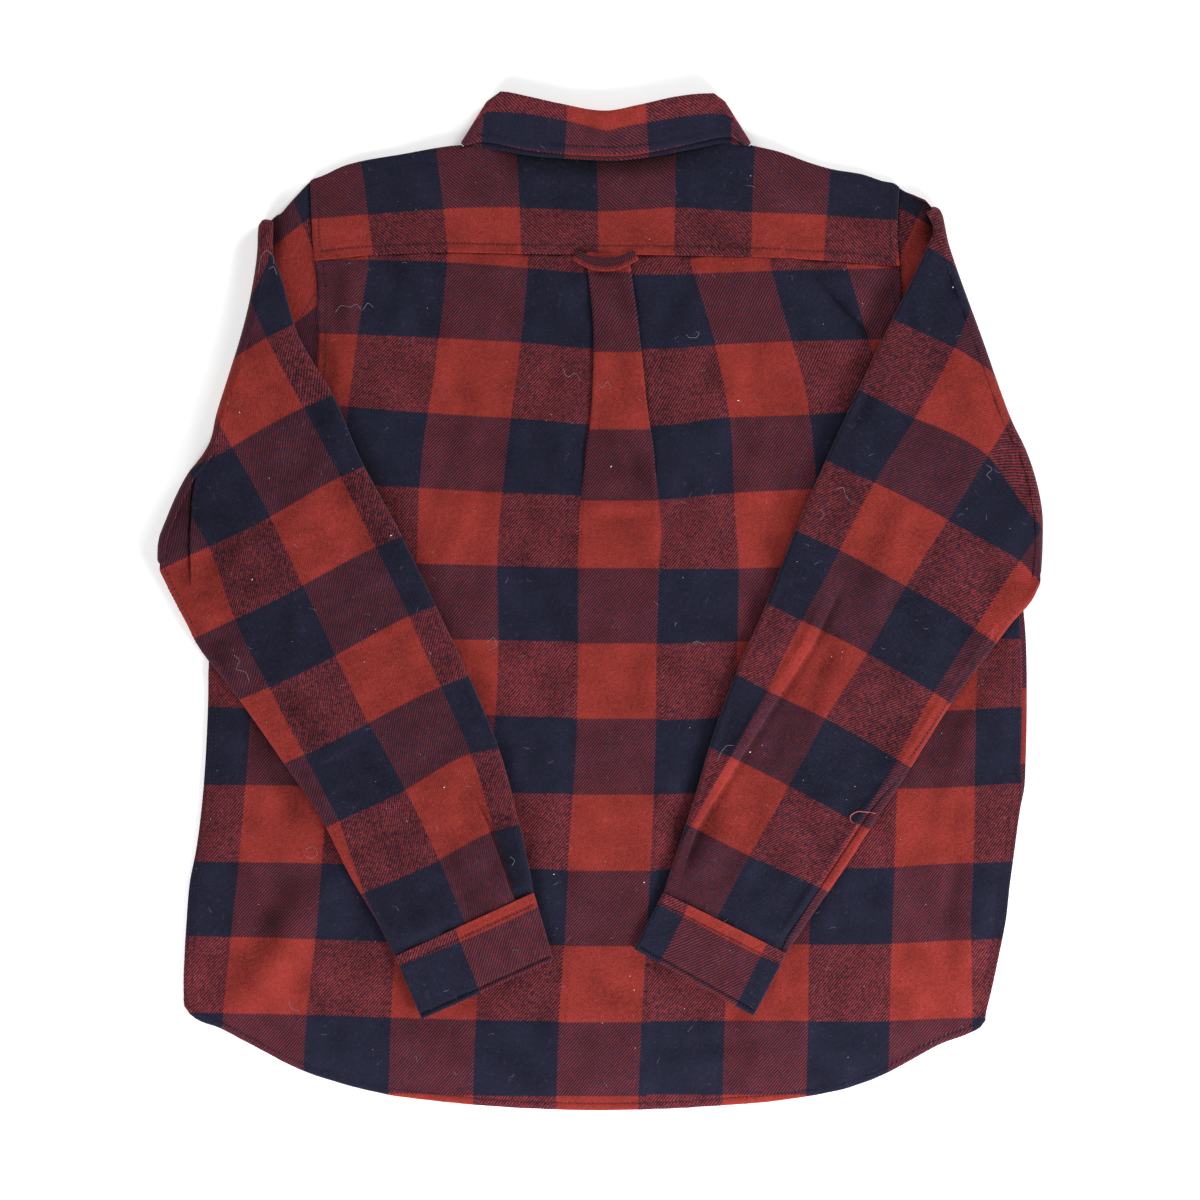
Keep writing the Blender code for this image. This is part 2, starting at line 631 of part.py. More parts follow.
def make_button(name, x, y, bottom):
    """Round button, turned: a flat back, a rounded rim and a shallow dish."""
    r, t = BUTTON_D / 2, BUTTON_T
    profile = [(0.0, 0.0), (r * 0.8, 0.0), (r, t * 0.35), (r, t * 0.7), (r * 0.86, t),
               (r * 0.66, t), (r * 0.5, t * 0.72)]
    points = [(x, y, bottom), (x, y, bottom + t * 0.72)]
    for radius, height in profile[1:]:
        for k in range(BUTTON_SIDES):
            angle = 2 * math.pi * k / BUTTON_SIDES
            points.append((x + radius * math.cos(angle), y + radius * math.sin(angle), bottom + height))
    faces = []
    rings = len(profile) - 1
    for k in range(BUTTON_SIDES):
        n = (k + 1) % BUTTON_SIDES
        faces.append((0, 2 + n, 2 + k))
        last = 2 + (rings - 1) * BUTTON_SIDES
        faces.append((1, last + k, last + n))
        for ring in range(rings - 1):
            a = 2 + ring * BUTTON_SIDES
            faces.append((a + k, a + n, a + n + BUTTON_SIDES, a + k + BUTTON_SIDES))
    mesh_object(name, points, faces, HORN, BUTTON_ROUGHNESS)


def make_buttons():
    for k in range(BUTTON_COUNT):
        y = BUTTON_TOP_Y - k * BUTTON_PITCH
        make_button("button_front_%d" % (k + 1), float(centre_line(y)), y, 0.0)
    make_button("button_collar", NECK_X - 2.0, 324.0, 0.2)
    below_cuff = CUFF_Z - CUFF_HALF - DOUBLE / 2 - GAP - BUTTON_T
    make_button("button_cuff_left", -132.0, -294.0, below_cuff)
    make_button("button_cuff_right", 122.0, -297.0, below_cuff)


def clear_scene():
    for old in list(bpy.data.objects):
        bpy.data.objects.remove(old, do_unlink=True)


clear_scene()
make_back()
make_yoke()
make_front(-1, "front_left", NAVY)
make_front(1, "front_right", BRICK)
make_collar()
make_sleeves()
make_cuffs()
make_loop()
make_buttons()
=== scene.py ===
"""Flannel shirt, buttoned and laid face down with both sleeves folded over its back.

Lengths are in millimetres until a mesh is made. +Y runs to the collar, +X to the
wearer's right sleeve and +Z up from the table.
"""
import math

import bpy
import numpy as np
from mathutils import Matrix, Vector
from mathutils.bvhtree import BVHTree


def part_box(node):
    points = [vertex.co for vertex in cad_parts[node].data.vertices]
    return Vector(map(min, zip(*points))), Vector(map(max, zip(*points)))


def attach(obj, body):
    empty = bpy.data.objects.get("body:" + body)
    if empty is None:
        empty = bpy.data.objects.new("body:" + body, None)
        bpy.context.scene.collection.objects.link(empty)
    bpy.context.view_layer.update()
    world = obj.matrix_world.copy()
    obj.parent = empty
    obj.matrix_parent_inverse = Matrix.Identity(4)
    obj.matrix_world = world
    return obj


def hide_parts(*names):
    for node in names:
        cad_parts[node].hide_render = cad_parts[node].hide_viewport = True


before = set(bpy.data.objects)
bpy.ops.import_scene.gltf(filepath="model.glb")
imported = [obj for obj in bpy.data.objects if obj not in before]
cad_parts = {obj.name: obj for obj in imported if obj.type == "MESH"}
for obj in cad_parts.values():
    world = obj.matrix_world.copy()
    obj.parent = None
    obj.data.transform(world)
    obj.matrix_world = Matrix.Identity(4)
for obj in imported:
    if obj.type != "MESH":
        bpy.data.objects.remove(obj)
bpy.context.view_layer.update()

# ---------------------------------------------------------------------------
# The table top and the light.
# The shirt lies on a plain white table under broad, soft studio light, and is
# seen from straight above.

MM = 0.001
VIEW_WIDTH = 972.0
CLOTH_LEVEL = 6.0
LENS = 100.0
SENSOR = 36.0
CAMERA_Y = 0.4
TABLE_SIZE = 9.0
TABLE_GAP = 0.2 * MM
TABLE_GLOW = 0.15       # keeps the table white all over
ROOM_LIGHT = 0.20
LAMP_SIZE = 0.6
# Each lamp's name, its place in metres and its watts
LAMPS = [("key", (1.15, -1.3, 0.75), 55.0), ("low_left", (-1.15, -1.3, 0.75), 27.0),
         ("fill", (1.15, 1.35, 0.75), 25.0), ("high_left", (-1.15, 1.35, 0.75), 14.0)]


def studio():
    bpy.ops.mesh.primitive_plane_add(size=TABLE_SIZE, location=(0, 0, -TABLE_GAP))
    table = bpy.context.object
    table.name = "table_top"
    white = bpy.data.materials.new("table_white")
    white.use_nodes = True
    shader = white.node_tree.nodes["Principled BSDF"]
    shader.inputs["Base Color"].default_value = (0.93, 0.93, 0.93, 1)
    shader.inputs["Roughness"].default_value = 0.9
    shader.inputs["Specular IOR Level"].default_value = 0.1
    shader.inputs["Emission Color"].default_value = (1, 1, 1, 1)
    shader.inputs["Emission Strength"].default_value = TABLE_GLOW
    table.data.materials.append(white)

    world = bpy.data.worlds.new("soft_room")
    world.use_nodes = True
    world.node_tree.nodes["Background"].inputs["Color"].default_value = (1.0, 1.0, 1.0, 1)
    world.node_tree.nodes["Background"].inputs["Strength"].default_value = ROOM_LIGHT
    bpy.context.scene.world = world

    for name, (x, y, z), watts in LAMPS:
        lamp = bpy.data.lights.new(name, "AREA")
        lamp.size = LAMP_SIZE
        lamp.energy = watts
        holder = bpy.data.objects.new(name, lamp)
        holder.location = (x, y, z)
        tilt = math.atan2(math.hypot(x, y), z)
        holder.rotation_euler = (tilt, 0, math.atan2(y, x) + math.pi / 2)
        bpy.context.collection.objects.link(holder)

    lens = bpy.data.cameras.new("overhead")
    lens.lens = LENS
    lens.sensor_width = SENSOR
    lens.clip_end = 50
    camera = bpy.data.objects.new("overhead", lens)
    camera.location = (0, CAMERA_Y * MM, (VIEW_WIDTH * LENS / SENSOR + CLOTH_LEVEL) * MM)
    bpy.context.collection.objects.link(camera)
    bpy.context.scene.camera = camera
    bpy.context.scene.view_settings.view_transform = "Standard"


studio()

# ---------------------------------------------------------------------------
# The flannel.
# Brushed cotton twill in navy and brick red: wide stripes both ways, so that
# squares are navy, red, or mixed where the two cross, drawn by the diagonal
# twill line. Light and shade are painted into its colour from an attribute of
# each piece: painted shade where it is below 0, in troughs, grooves and shadowed
# places, and painted highlight where it is above 0, on crests and edges.

CHECK_W = 67.3          # one stripe across the cloth
CHECK_H = 61.5          # one stripe along it
NAVY = (0.0094, 0.0098, 0.0215, 1)
BRICK = (0.184, 0.0206, 0.0165, 1)
LINT = (0.42, 0.40, 0.44, 1)
TWILL_ACROSS = 2.5      # the twill line's step across the cloth
TWILL_ALONG = 3.1
EDGE_TOOTH = 0.55       # how far a float carries a colour past a stripe's edge
CREST_RANGE = (-2.5, 1.2)


class Wire:
    """An output of a shader node, which can stand in an expression."""

    def __init__(self, finish, socket):
        self.finish = finish
        self.socket = socket

    def math(self, operation, *values):
        sockets = dict(enumerate((self,) + values))
        return self.finish.node("ShaderNodeMath", {"operation": operation}, sockets)

    def __add__(self, other):
        return self.math("ADD", other)

    def __sub__(self, other):
        return self.math("SUBTRACT", other)

    def __mul__(self, other):
        return self.math("MULTIPLY", other)

    def __rsub__(self, other):
        return self.finish.node("ShaderNodeMath", {"operation": "SUBTRACT"}, {0: other, 1: self})

    __radd__ = __add__
    __rmul__ = __mul__


class Finish:
    """The nodes of one finish."""

    def __init__(self, name, roughness, **uniform):
        self.material = bpy.data.materials.new(name)
        self.material.use_nodes = True
        self.tree = self.material.node_tree
        self.shader = self.tree.nodes["Principled BSDF"]
        self.shader.inputs["Roughness"].default_value = roughness
        for socket, value in uniform.items():
            self.shader.inputs[socket.replace("_", " ")].default_value = value

    def node(self, kind, settings, sockets, output=0):
        made = self.tree.nodes.new(kind)
        for name, value in settings.items():
            setattr(made, name, value)
        for key, value in sockets.items():
            self.feed(made.inputs[key], value)
        return Wire(self, made.outputs[output])

    def feed(self, socket, value):
        if isinstance(value, Wire):
            self.tree.links.new(value.socket, socket)
        else:
            socket.default_value = value

    def noise(self, place, size, detail=2.0):
        """Noise of the given size in millimetres, about -0.5 to 0.5."""
        sockets = {"Vector": place, "Scale": 1 / size, "Detail": detail}
        return self.node("ShaderNodeTexNoise", {}, sockets) - 0.5

    def mix(self, share, first, second):
        sockets = {0: share, 6: first, 7: second}
        return self.node("ShaderNodeMix", {"data_type": "RGBA"}, sockets, output=2)

    def scaled(self, colour, value):
        sockets = {0: colour, 3: value}
        return self.node("ShaderNodeVectorMath", {"operation": "SCALE"}, sockets)


def flannel(name, across_step, along_step, clear=0.80):
    """Flannel whose twill line rises one way or, with a step below zero, the other.

    clear is how sharply the line shows through the nap.
    """
    cloth = Finish(name, 0.96, Specular_IOR_Level=0.08, Sheen_Weight=0.10, Sheen_Roughness=0.4,
                   Sheen_Tint=(0.9, 0.8, 0.85, 1))
    uv = cloth.node("ShaderNodeUVMap", {"uv_map": "Cloth"}, {})
    stripe = cloth.node("ShaderNodeSeparateXYZ", {}, {0: uv})
    band = cloth.node("ShaderNodeSeparateXYZ", {}, {0: uv}, output=1)
    across = stripe * CHECK_W
    along = band * CHECK_H
    place = cloth.node("ShaderNodeCombineXYZ", {}, {0: across, 1: along})

    fuzz = cloth.noise(place, 1.2, 3.0)
    tufts = cloth.noise(place, 3.4)
    wander = cloth.noise(place, 14.0, 1.0)
    worn = cloth.noise(place, 34.0, 1.0)
    turns = across * (1 / across_step) + along * (1 / along_step) + wander * 0.7 + tufts * 0.35
    twill = (turns * (2 * math.pi)).math("SINE")

    tooth = twill * EDGE_TOOTH + fuzz * 1.0
    red_stripe = ((stripe + tooth * (1 / CHECK_W)) * 0.5).math("FRACT").math("LESS_THAN", 0.5)
    red_band = ((band - tooth * (1 / CHECK_H)) * 0.5).math("FRACT").math("GREATER_THAN", 0.5)
    crossing = (red_stripe - red_band).math("ABSOLUTE")
    # A red warp shows less where a navy weft crosses it
    bias = 0.27 + crossing * (red_stripe * 0.70)
    on_top = twill * clear + fuzz * (0.4 + clear * 3) + tufts * 1.8 + worn * 0.3 + bias
    on_top = on_top.math("MINIMUM", 0.95).math("MAXIMUM", 0.06)
    warp = cloth.mix(red_stripe, NAVY, BRICK)
    weft = cloth.mix(red_band, NAVY, BRICK)
    colour = cloth.mix(on_top, warp, weft)

    # Painted shade and highlight: the pieces' attribute darkens the colour below 0 and lightens it
    # above 0
    crest = cloth.node("ShaderNodeAttribute", {"attribute_name": "PaintedShading"}, {}, output=2)
    shade = 1 + fuzz * 1.5 + tufts * 0.7 + worn * 0.4 + twill * 0.07 - crossing * 0.06
    shade = shade + crest * 0.26 - twill * (crossing * (red_stripe * 0.14))
    colour = cloth.scaled(colour, shade)
    haze = (cloth.noise(place, 4.5, 4.0) - 0.11).math("MAXIMUM", 0.0) * 0.22
    cloth.feed(cloth.shader.inputs["Base Color"], cloth.mix(haze, colour, LINT))

    height = twill * 0.07 + fuzz * 0.45 + tufts * 0.40
    bump = cloth.node("ShaderNodeBump", {}, {"Height": height, "Distance": MM, "Strength": 0.9})
    cloth.feed(cloth.shader.inputs["Normal"], bump)
    return cloth.material


body_flannel = flannel("flannel_twill", TWILL_ACROSS, TWILL_ALONG)
cross_flannel = flannel("flannel_cross_twill", TWILL_ALONG, -TWILL_ACROSS)
sleeve_flannel = flannel("flannel_softer_twill", TWILL_ACROSS, TWILL_ALONG, 0.58)

# ---------------------------------------------------------------------------
# The fronts.
# Two plain panels of flannel under the shirt, cut in one with their edges
# folded in, the left lapped over the right and buttoned. They lie flat on the
# table, but over the collar leaves and the buttons.

CLOTH = 1.2
GAP = 0.3
CURVED_GAP = 1.1
NECK_X = 4.8
NECK_Y = 330.0
HALF_LAP = 19.0
YOKE_WRAP = 35.0
SIDE_LEFT = [(39, -311), (-20, -315), (-53, -317), (-81, -317.5), (-113, -318.7),
             (-152, -321.2), (-200, -326.8), (-230, -332.5), (-259, -334.9),
             (-288, -336.6), (-317, -337.4), (-330, -336.4)]
SIDE_RIGHT = [(34, 331), (10, 340.5), (-9, 343.4), (-36, 345.4), (-86, 346), (-129, 345.1),
              (-152, 344), (-171, 340.2), (-200, 336.2), (-230, 332.1),
              (-259, 328.9), (-288, 323.2), (-317, 317), (-337, 312)]
ARMHOLE_LEFT = [(340, -234.5), (311, -233.3), (277, -231.7), (260, -229.6),
                (216, -229.2), (162, -233.3), (114, -244.6), (69, -269), (39, -311)]
ARMHOLE_RIGHT = [(335, 242.2), (298, 240.6), (262, 243.6), (219, 248), (162, 250),
                 (122, 256), (85, 274), (60, 302), (34, 331)]
HEM = [(-338, -326), (-333, -334), (-306, -347), (-272, -365), (-240, -381),
       (-207, -391.6), (-172, -400), (-138, -404.6), (-97, -408.6), (-49, -411),
       (0, -412), (57, -410.8), (113, -407.8), (147, -404.6), (199, -395),
       (227, -385), (252, -372), (276, -359), (300, -350), (309, -344.7), (318, -330)]
SHOULDER_LEFT = [(-234.5, 341), (-231.5, 342.8), (-228, 343.8), (-222, 346.2), (-214, 350.1),
                 (-207, 353.2), (-155, 363.3), (-121, 368.8), (-112, 369.5)]
SHOULDER_RIGHT = [(121.6, 369.5), (147, 363.5), (168, 356), (188, 350.3),
                  (213, 346), (230, 340.4), (236.3, 339.4), (239.8, 338), (242.2, 335.8)]
COLLAR_EDGE = [(-112, 370.6), (-102, 371.8), (-92, 371.4), (-55, 365.4), (-18, 362.5),
               (11, 361.5), (38, 364), (74.5, 370.6), (104.5, 375.8), (115, 373.8),
               (121.6, 370.6)]
FRONT_NECK = [(0, 309), (37, 311.5), (58, 317), (78, 326), (96, 339), (108, 352)]
LAP_LINE = [(-420, -2), (-250, 5), (-80, 13), (100, 14), (250, 8), (420, NECK_X)]
FRONT_SHORT = 2.0       # how far the fronts end above the back's hem
FRONT_CHECK_X = 320.0
FRONT_CHECK_Y = -71.0


def curve(rows, at, column=1):
    """Read a column of a table at a station, along a smooth curve with no overshoot."""
    table = np.array(rows, dtype=float)
    table = table[np.argsort(table[:, 0])]
    x, y = table[:, 0], table[:, column]
    at = np.clip(np.asarray(at, dtype=float), x[0], x[-1])
    slope = np.diff(y) / np.diff(x)
    tangent = np.concatenate([slope[:1], (slope[:-1] + slope[1:]) / 2, slope[-1:]])
    turns = np.concatenate([[False], slope[:-1] * slope[1:] <= 0, [False]])
    tangent[turns] = 0
    k = np.clip(np.searchsorted(x, at, side="right") - 1, 0, len(x) - 2)
    width = x[k + 1] - x[k]
    t = (at - x[k]) / width
    a = (1 + 2 * t) * (1 - t) ** 2 * y[k] + t * (1 - t) ** 2 * width * tangent[k]
    b = t * t * (3 - 2 * t) * y[k + 1] - t * t * (1 - t) * width * tangent[k + 1]
    return a + b


def fade(start, end, value):
    """1 below start, 0 above end, smooth between."""
    t = np.clip((np.asarray(value, dtype=float) - start) / (end - start), 0, 1)
    return 1 - t * t * (3 - 2 * t)


def near_neck(x, y):
    return fade(130, 185, np.hypot(x - NECK_X, y - NECK_Y))


def front_bottom(x, y):
    over_buttons = 2.6 * fade(22, 42, np.abs(x - curve(LAP_LINE, y)))
    return np.maximum(2.5 * near_neck(x, y), over_buttons)


def body_left(y):
    return np.where(y > SIDE_LEFT[0][0], curve(ARMHOLE_LEFT, y), curve(SIDE_LEFT, y))


def body_right(y):
    return np.where(y > SIDE_RIGHT[0][0], curve(ARMHOLE_RIGHT, y), curve(SIDE_RIGHT, y))


def body_edge(side, y):
    return body_left(y) if side < 0 else body_right(y)


def shoulder(x):
    between = curve(COLLAR_EDGE, x) - 5.0
    on_left = np.where(x <= SHOULDER_LEFT[-1][0], curve(SHOULDER_LEFT, x), between)
    return np.where(x >= SHOULDER_RIGHT[0][0], curve(SHOULDER_RIGHT, x), on_left)


def unit(vectors):
    return vectors / np.maximum(np.linalg.norm(vectors, axis=-1, keepdims=True), 1e-9)


def smooth_piece(name, points, faces, finish):
    """A smooth mesh of one finish, its points in metres, in the shirt's one body."""
    mesh = bpy.data.meshes.new(name)
    mesh.from_pydata(points, [], faces)
    mesh.materials.append(finish)
    mesh.shade_smooth()
    piece = bpy.data.objects.new(name, mesh)
    bpy.context.collection.objects.link(piece)
    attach(piece, "root")
    return piece


def shell_piece(name, points, faces, cloth, crest, finish):
    """A piece of quads with its cloth coordinates; unused points are left out."""
    used, faces = np.unique(faces, return_inverse=True)
    faces = faces.reshape(-1, 4)
    piece = smooth_piece(name, (points[used] * MM).tolist(), faces.tolist(), finish)
    mesh = piece.data
    corners = np.empty(len(mesh.loops), dtype=int)
    mesh.loops.foreach_get("vertex_index", corners)
    layer = mesh.uv_layers.new(name="Cloth")
    layer.data.foreach_set("uv", cloth[used][corners].astype(np.float32).ravel())
    # Painted shade and highlight for the flannel's colour, one value per point
    painted_shading = mesh.attributes.new("PaintedShading", "FLOAT", "POINT")
    painted_shading.data.foreach_set("value", np.clip(crest[used], *CREST_RANGE).astype(np.float32))
    return piece


def cloth_wall(name, grid, cloth, thickness, finish, crest=0.0, kept=None):
    """A closed wall about a grid of middle points, with a rounded rim."""
    rows, columns = grid.shape[:2]
    count = rows * columns
    flat = grid.reshape(-1, 3)
    normal = np.cross(np.gradient(grid, axis=0), np.gradient(grid, axis=1)).reshape(-1, 3)
    normal = unit(normal)
    half = (np.zeros((rows, columns)) + thickness).reshape(-1, 1) / 2
    index = np.arange(count).reshape(rows, columns)
    cells = np.stack([index[:-1, :-1], index[1:, :-1], index[1:, 1:], index[:-1, 1:]], -1)
    cells = cells.reshape(-1, 4) if kept is None else cells[kept]
    edges = np.stack([cells, np.roll(cells, -1, axis=1)], -1).reshape(-1, 2)
    code = edges.min(axis=1) * count + edges.max(axis=1)
    _, inverse, times = np.unique(code, return_inverse=True, return_counts=True)
    rim = edges[times[inverse] == 1]
    out = unit(np.cross(flat[rim[:, 1]] - flat[rim[:, 0]], normal[rim[:, 0]]))
    swell = np.zeros((count, 3))
    np.add.at(swell, rim[:, 0], out)
    np.add.at(swell, rim[:, 1], out)
    middle = flat + unit(swell) * half * 0.8
    points = np.concatenate([flat + normal * half, flat - normal * half, middle])
    p, q = rim.T
    upper_rim = np.stack([q, p, p + 2 * count, q + 2 * count], -1)
    lower_rim = np.stack([q + 2 * count, p + 2 * count, p + count, q + count], -1)
    faces = np.concatenate([cells, cells[:, ::-1] + count, upper_rim, lower_rim])
    coords = np.tile(cloth.reshape(-1, 2), (3, 1))
    crest = np.tile((np.zeros((rows, columns)) + crest).ravel(), 3)
    return shell_piece(name, points, faces, coords, crest, finish)


def make_front(side, name, node):
    offsets = np.array([48, 44, 40, 36, 32, 28, 25, 22, 20, HALF_LAP, 16, 13, 10, 5, 0, -5, -10,
                        -14, -17, -HALF_LAP + 0.6, -HALF_LAP])
    shares = np.linspace(0, 1, 61)[:-1]
    levels = np.linspace(0, 1, 120)[:, None]
    share = np.concatenate([shares, np.ones(len(offsets))])[None, :]
    offset = np.concatenate([np.full(len(shares), offsets[0]), offsets])[None, :]
    y = np.full((len(levels), share.shape[1]), 300.0)
    for _ in range(10):
        outer = body_edge(side, y)
        inner = curve(LAP_LINE, y) + side * offset
        x = outer + share * (inner - outer)
        on_shoulder = shoulder(x) - YOKE_WRAP - CURVED_GAP
        reach = (x - NECK_X) * side
        neck = curve(FRONT_NECK, np.maximum(reach, 0)) - CURVED_GAP
        upper = np.where(reach > 112, on_shoulder, np.minimum(neck, on_shoulder))
        lower = curve(HEM, x) + FRONT_SHORT
        y = upper - levels * (upper - lower)
    z = front_bottom(x, y) + CLOTH / 2
    if side > 0:
        z = z + (CLOTH + GAP) * fade(22, 36, x - curve(LAP_LINE, y))
    grid = np.dstack([x, y, z])[:, ::-side]
    cloth = np.dstack([(x - FRONT_CHECK_X) / CHECK_W, 1 + (FRONT_CHECK_Y - y) / CHECK_H])
    piece = cloth_wall(name, grid, cloth[:, ::-side], CLOTH, body_flannel)
    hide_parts(node)


make_front(-1, "left_front", "front_left")
make_front(1, "right_front", "front_right")

# ---------------------------------------------------------------------------
# The back.
# One panel of flannel with a box pleat at the centre, pressed under the yoke
# and opening out half way down. The hem is turned up and stitched. The lap and
# the collar below lift it in a broad low ridge.

BACK_TOP = 281.0
YOKE_SEAM = [(-232, 277), (-185, 281.5), (-126, 283.5), (-65, 282.3), (0, 281.5),
             (65, 281), (113, 280), (178, 277.4), (241, 272.6)]
PLEAT = [(282, -10.4, 22.0, 31.4), (211, -4.1, 31.4, 18.0), (149, -6.4, 38.2, 8.4),
         (122, -10.0, 42.4, 3.4), (90, -13.5, 45.2, 1.6), (60, -15.4, 47.0, 1.0),
         (29, -17.0, 48.4, 0.7), (-60, -18.0, 48.0, 0.5), (-412, -33.0, 34.0, 0.3)]
PLEAT_STEP = 1.35
PLEAT_SPREAD = 12.0
# Where the stripes' edges run: y, then x of stripes -4 to -1, of the pleat's
# two edges, and of stripes 2 to 5
BACK_STRIPES = [(271, -255, -188, -124, -58.5, -13, 25, 73.5, 137.5, 199.5, 267.5),
                (212.5, -264, -197, -131, -64, -5, 31.5, 91.5, 154.5, 217, 282),
                (173.5, -269.5, -202, -136, -69, -4, 35, 100.5, 166, 230, 294),
                (135, -274, -206.5, -142.5, -74, -11.5, 40.5, 106, 171.5, 237.5, 301.5),
                (96, -275.5, -210, -146.5, -78.5, -14, 45.5, 107.5, 175, 240.5, 305.5),
                (57, -277, -211.5, -148, -82, -15.5, 48.5, 110, 177, 242, 307),
                (29, -278, -213, -149, -83.5, -18, 47.5, 112, 177.5, 243, 308),
                (-40, -280.5, -216.5, -151.5, -82.5, -18, 45.5, 111, 177.5, 244, 306),
                (-113, -285, -220.5, -155.5, -86.5, -19.5, 44.5, 111, 176, 242, 304),
                (-195.5, -291.5, -224.5, -161, -92.5, -25, 41.5, 109, 174.5, 239, 303),
                (-267, -299, -230, -165, -97, -28.5, 37.5, 104.5, 169.5, 236.5, 300.5),
                (-331.5, -305.5, -237.5, -169.5, -100.5, -33, 34, 101, 168.5, 234.5, 301.5),
                (-390, -311, -241.5, -171.5, -103, -35.5, 31, 99, 167, 233.5, 299.5)]
# Cloth that the pleat takes in, in stripes: y, outside the edge, inside it
PLEAT_TAKEN = [(271, 0.29, 0.21), (212, 0.12, 0.23), (173, 0.02, 0.21), (135, 0.0, 0.11),
               (96, 0.0, 0.06), (57, 0.0, 0.02), (29, 0.0, 0.0), (-412, 0.0, 0.0)]
# Where the bands' edges run: x, then y of bands 0 to 11
BACK_BANDS = [(-312, 280.5, 220.5, 160, 97, 33.5, -29, -86, -149, -211.5, -272, -334, -397.5),
              (-218.5, 277, 216.5, 158.5, 95, 32, -30.5, -88.5, -150.5, -213, -274.5, -336,
               -399),
              (-162, 276, 214.5, 154, 92.5, 30.5, -31, -90.5, -152.5, -215, -277, -338, -399.5),
              (-105.5, 273, 211.5, 150, 89, 29, -31.5, -92, -154.5, -216.5, -278, -339.5, -401),
              (-48.5, 268.5, 208, 146.5, 86.5, 27.5, -32.5, -94, -156, -217, -278.5, -340, -401),
              (-12, 265.5, 204.5, 143, 85, 26.5, -33, -94.5, -156, -218, -278.5, -340.5, -401),
              (48.5, 264, 204, 142, 82, 26, -35, -96.5, -156.5, -217.5, -279, -340, -399.5),
              (97, 265.5, 207.5, 148, 86.5, 26, -33, -94.5, -154.5, -216.5, -278.5, -340, -400.5),
              (162, 268, 210.5, 150.5, 90, 27.5, -33, -91.5, -153.5, -216.5, -278.5, -340.5,
               -400.5),
              (210.5, 269, 211.5, 153.5, 92, 28, -33, -90.5, -152.5, -216.5, -278.5, -341,
               -400.5),
              (283.5, 272, 213.5, 155, 93.5, 29.5, -32, -89, -151.5, -213, -275.5, -338.5,
               -399.5),
              (332, 274, 215, 156.5, 95, 31, -31, -86, -148, -211.5, -273.5, -337.5, -398)]
# The same on the pleat itself
PLEAT_BANDS = (266, 201, 138.5, 81, 26.5, -34.5, -95.5, -157, -218.5, -279.5, -341, -401)
# Creases, rows of (x0, y0, x1, y1, half width, height)
BACK_FOLDS = [(190, 264, 231, 222, 12, 1.6), (150, 258, 200, 204, 14, 1.0),
              (-205, 262, -120, 190, 16, 1.2), (80, 120, 150, -40, 26, 1.6),
              (-90, 60, -60, -150, 30, 1.4), (205, -120, 250, -300, 26, 1.6),
              (-206, -212, -290, -335, 15, 3.2), (-300, 40, -290, -120, 18, 1.4)]
BACK_CREASES = [(171, 267, 225, 206, 3.2, -2.4), (-212, 274, -212, 215, 7, -2.2),
                (-221, 207, -225, 166, 7, -1.8), (-200, 272, -202, 212, 5, 0.8),
                (-166, 268, -168, 232, 7, -0.8), (-152, 262, -146, 220, 6, -0.7),
                (-63, 274, -22, 211, 7, -1.0), (-48, 276, -14, 232, 6, 0.6),
                (73, 256, 48, 222, 7, -0.9), (20, 200, 22, 138, 1.8, -0.9),
                (13, 268, 20, 225, 5, -1.3),
                (236, 262, 222, 212, 9, -1.8), (-2, 120, 38, 98, 13, -2.0),
                (22, 134, 39, 88, 4.5, -1.5), (13, 134, 26, 94, 4, 0.9),
                (-14, 82, 46, 79, 3, -1.0), (0, 75, 44, 76, 5, 1.0),
                (-3, 63, 34, 67, 5.5, -1.7), (32, 54, 46, 46, 4, -0.9),
                (-42, 47, -16, 55, 5, -1.0), (14, 40, 16, -60, 7, 0.6),
                (-235, -212, -303, -320, 14, -2.6),
                (-290, -80, -240, -170, 13, -2.0), (293, -145, 283, -292, 7, -1.7),
                (304, -218, 325, -243, 3, -0.8), (44, -366, 118, -360, 7, -1.2),
                (174, -357, 219, -362, 5, -0.9), (-180, 180, -120, 60, 12, 0.7),
                (100, 240, 125, 120, 9, 0.7), (-30, -80, -45, -300, 14, 0.6),
                (230, -170, 215, -330, 10, -0.8), (302, -66, 268, -140, 14, -2.0),
                (60, -160, 120, -380, 12, -0.6), (118, 250, 132, 214, 6, -0.7),
                (206, 196, 212, 178, 6, -1.2), (-60, -90, -54, -190, 9, -0.7),
                (28, -20, 34, -120, 8, -0.6), (-120, -350, -60, -372, 8, -0.7),
                (-8, -300, 20, -330, 9, -0.7), (240, 60, 232, -10, 9, -0.6)]
# Painted shadow on the back beside the sleeves and cuffs, in rows as the creases
PAINTED_SLEEVE_SHADOWS = [(-213, 162, -134, -1, 6, -0.9), (-134, -1, -53, -237, 6, -1.1),
             (-53, -237, -37, -290, 6, -0.8), (205, 162, 134, -3, 6, -0.6),
             (134, -3, 51, -237, 8, -1.1), (51, -237, 28, -282, 7, -0.9)]
HEM_ALLOWANCE = 6.0
BILLOW = 1.8            # how far the loose cloth stands off the fronts
LOWEST = 1.95
HEM_STITCH = 5.0
ARMHOLE_STITCH = (1.6, 7.0)
# Where the rows beside the armholes and side seams show: side, from y, to y
ARMHOLE_ROWS = [(-1, 150, 272), (-1, -318, -90), (1, 186, 270), (1, -318, -40)]
STITCH_GROOVE = 0.9     # half the width of the groove that a row of stitches pulls in


def hump(distance, width):
    """1 at no distance, and nearly nothing from twice the width on."""
    return np.exp(-(distance / width) ** 2)


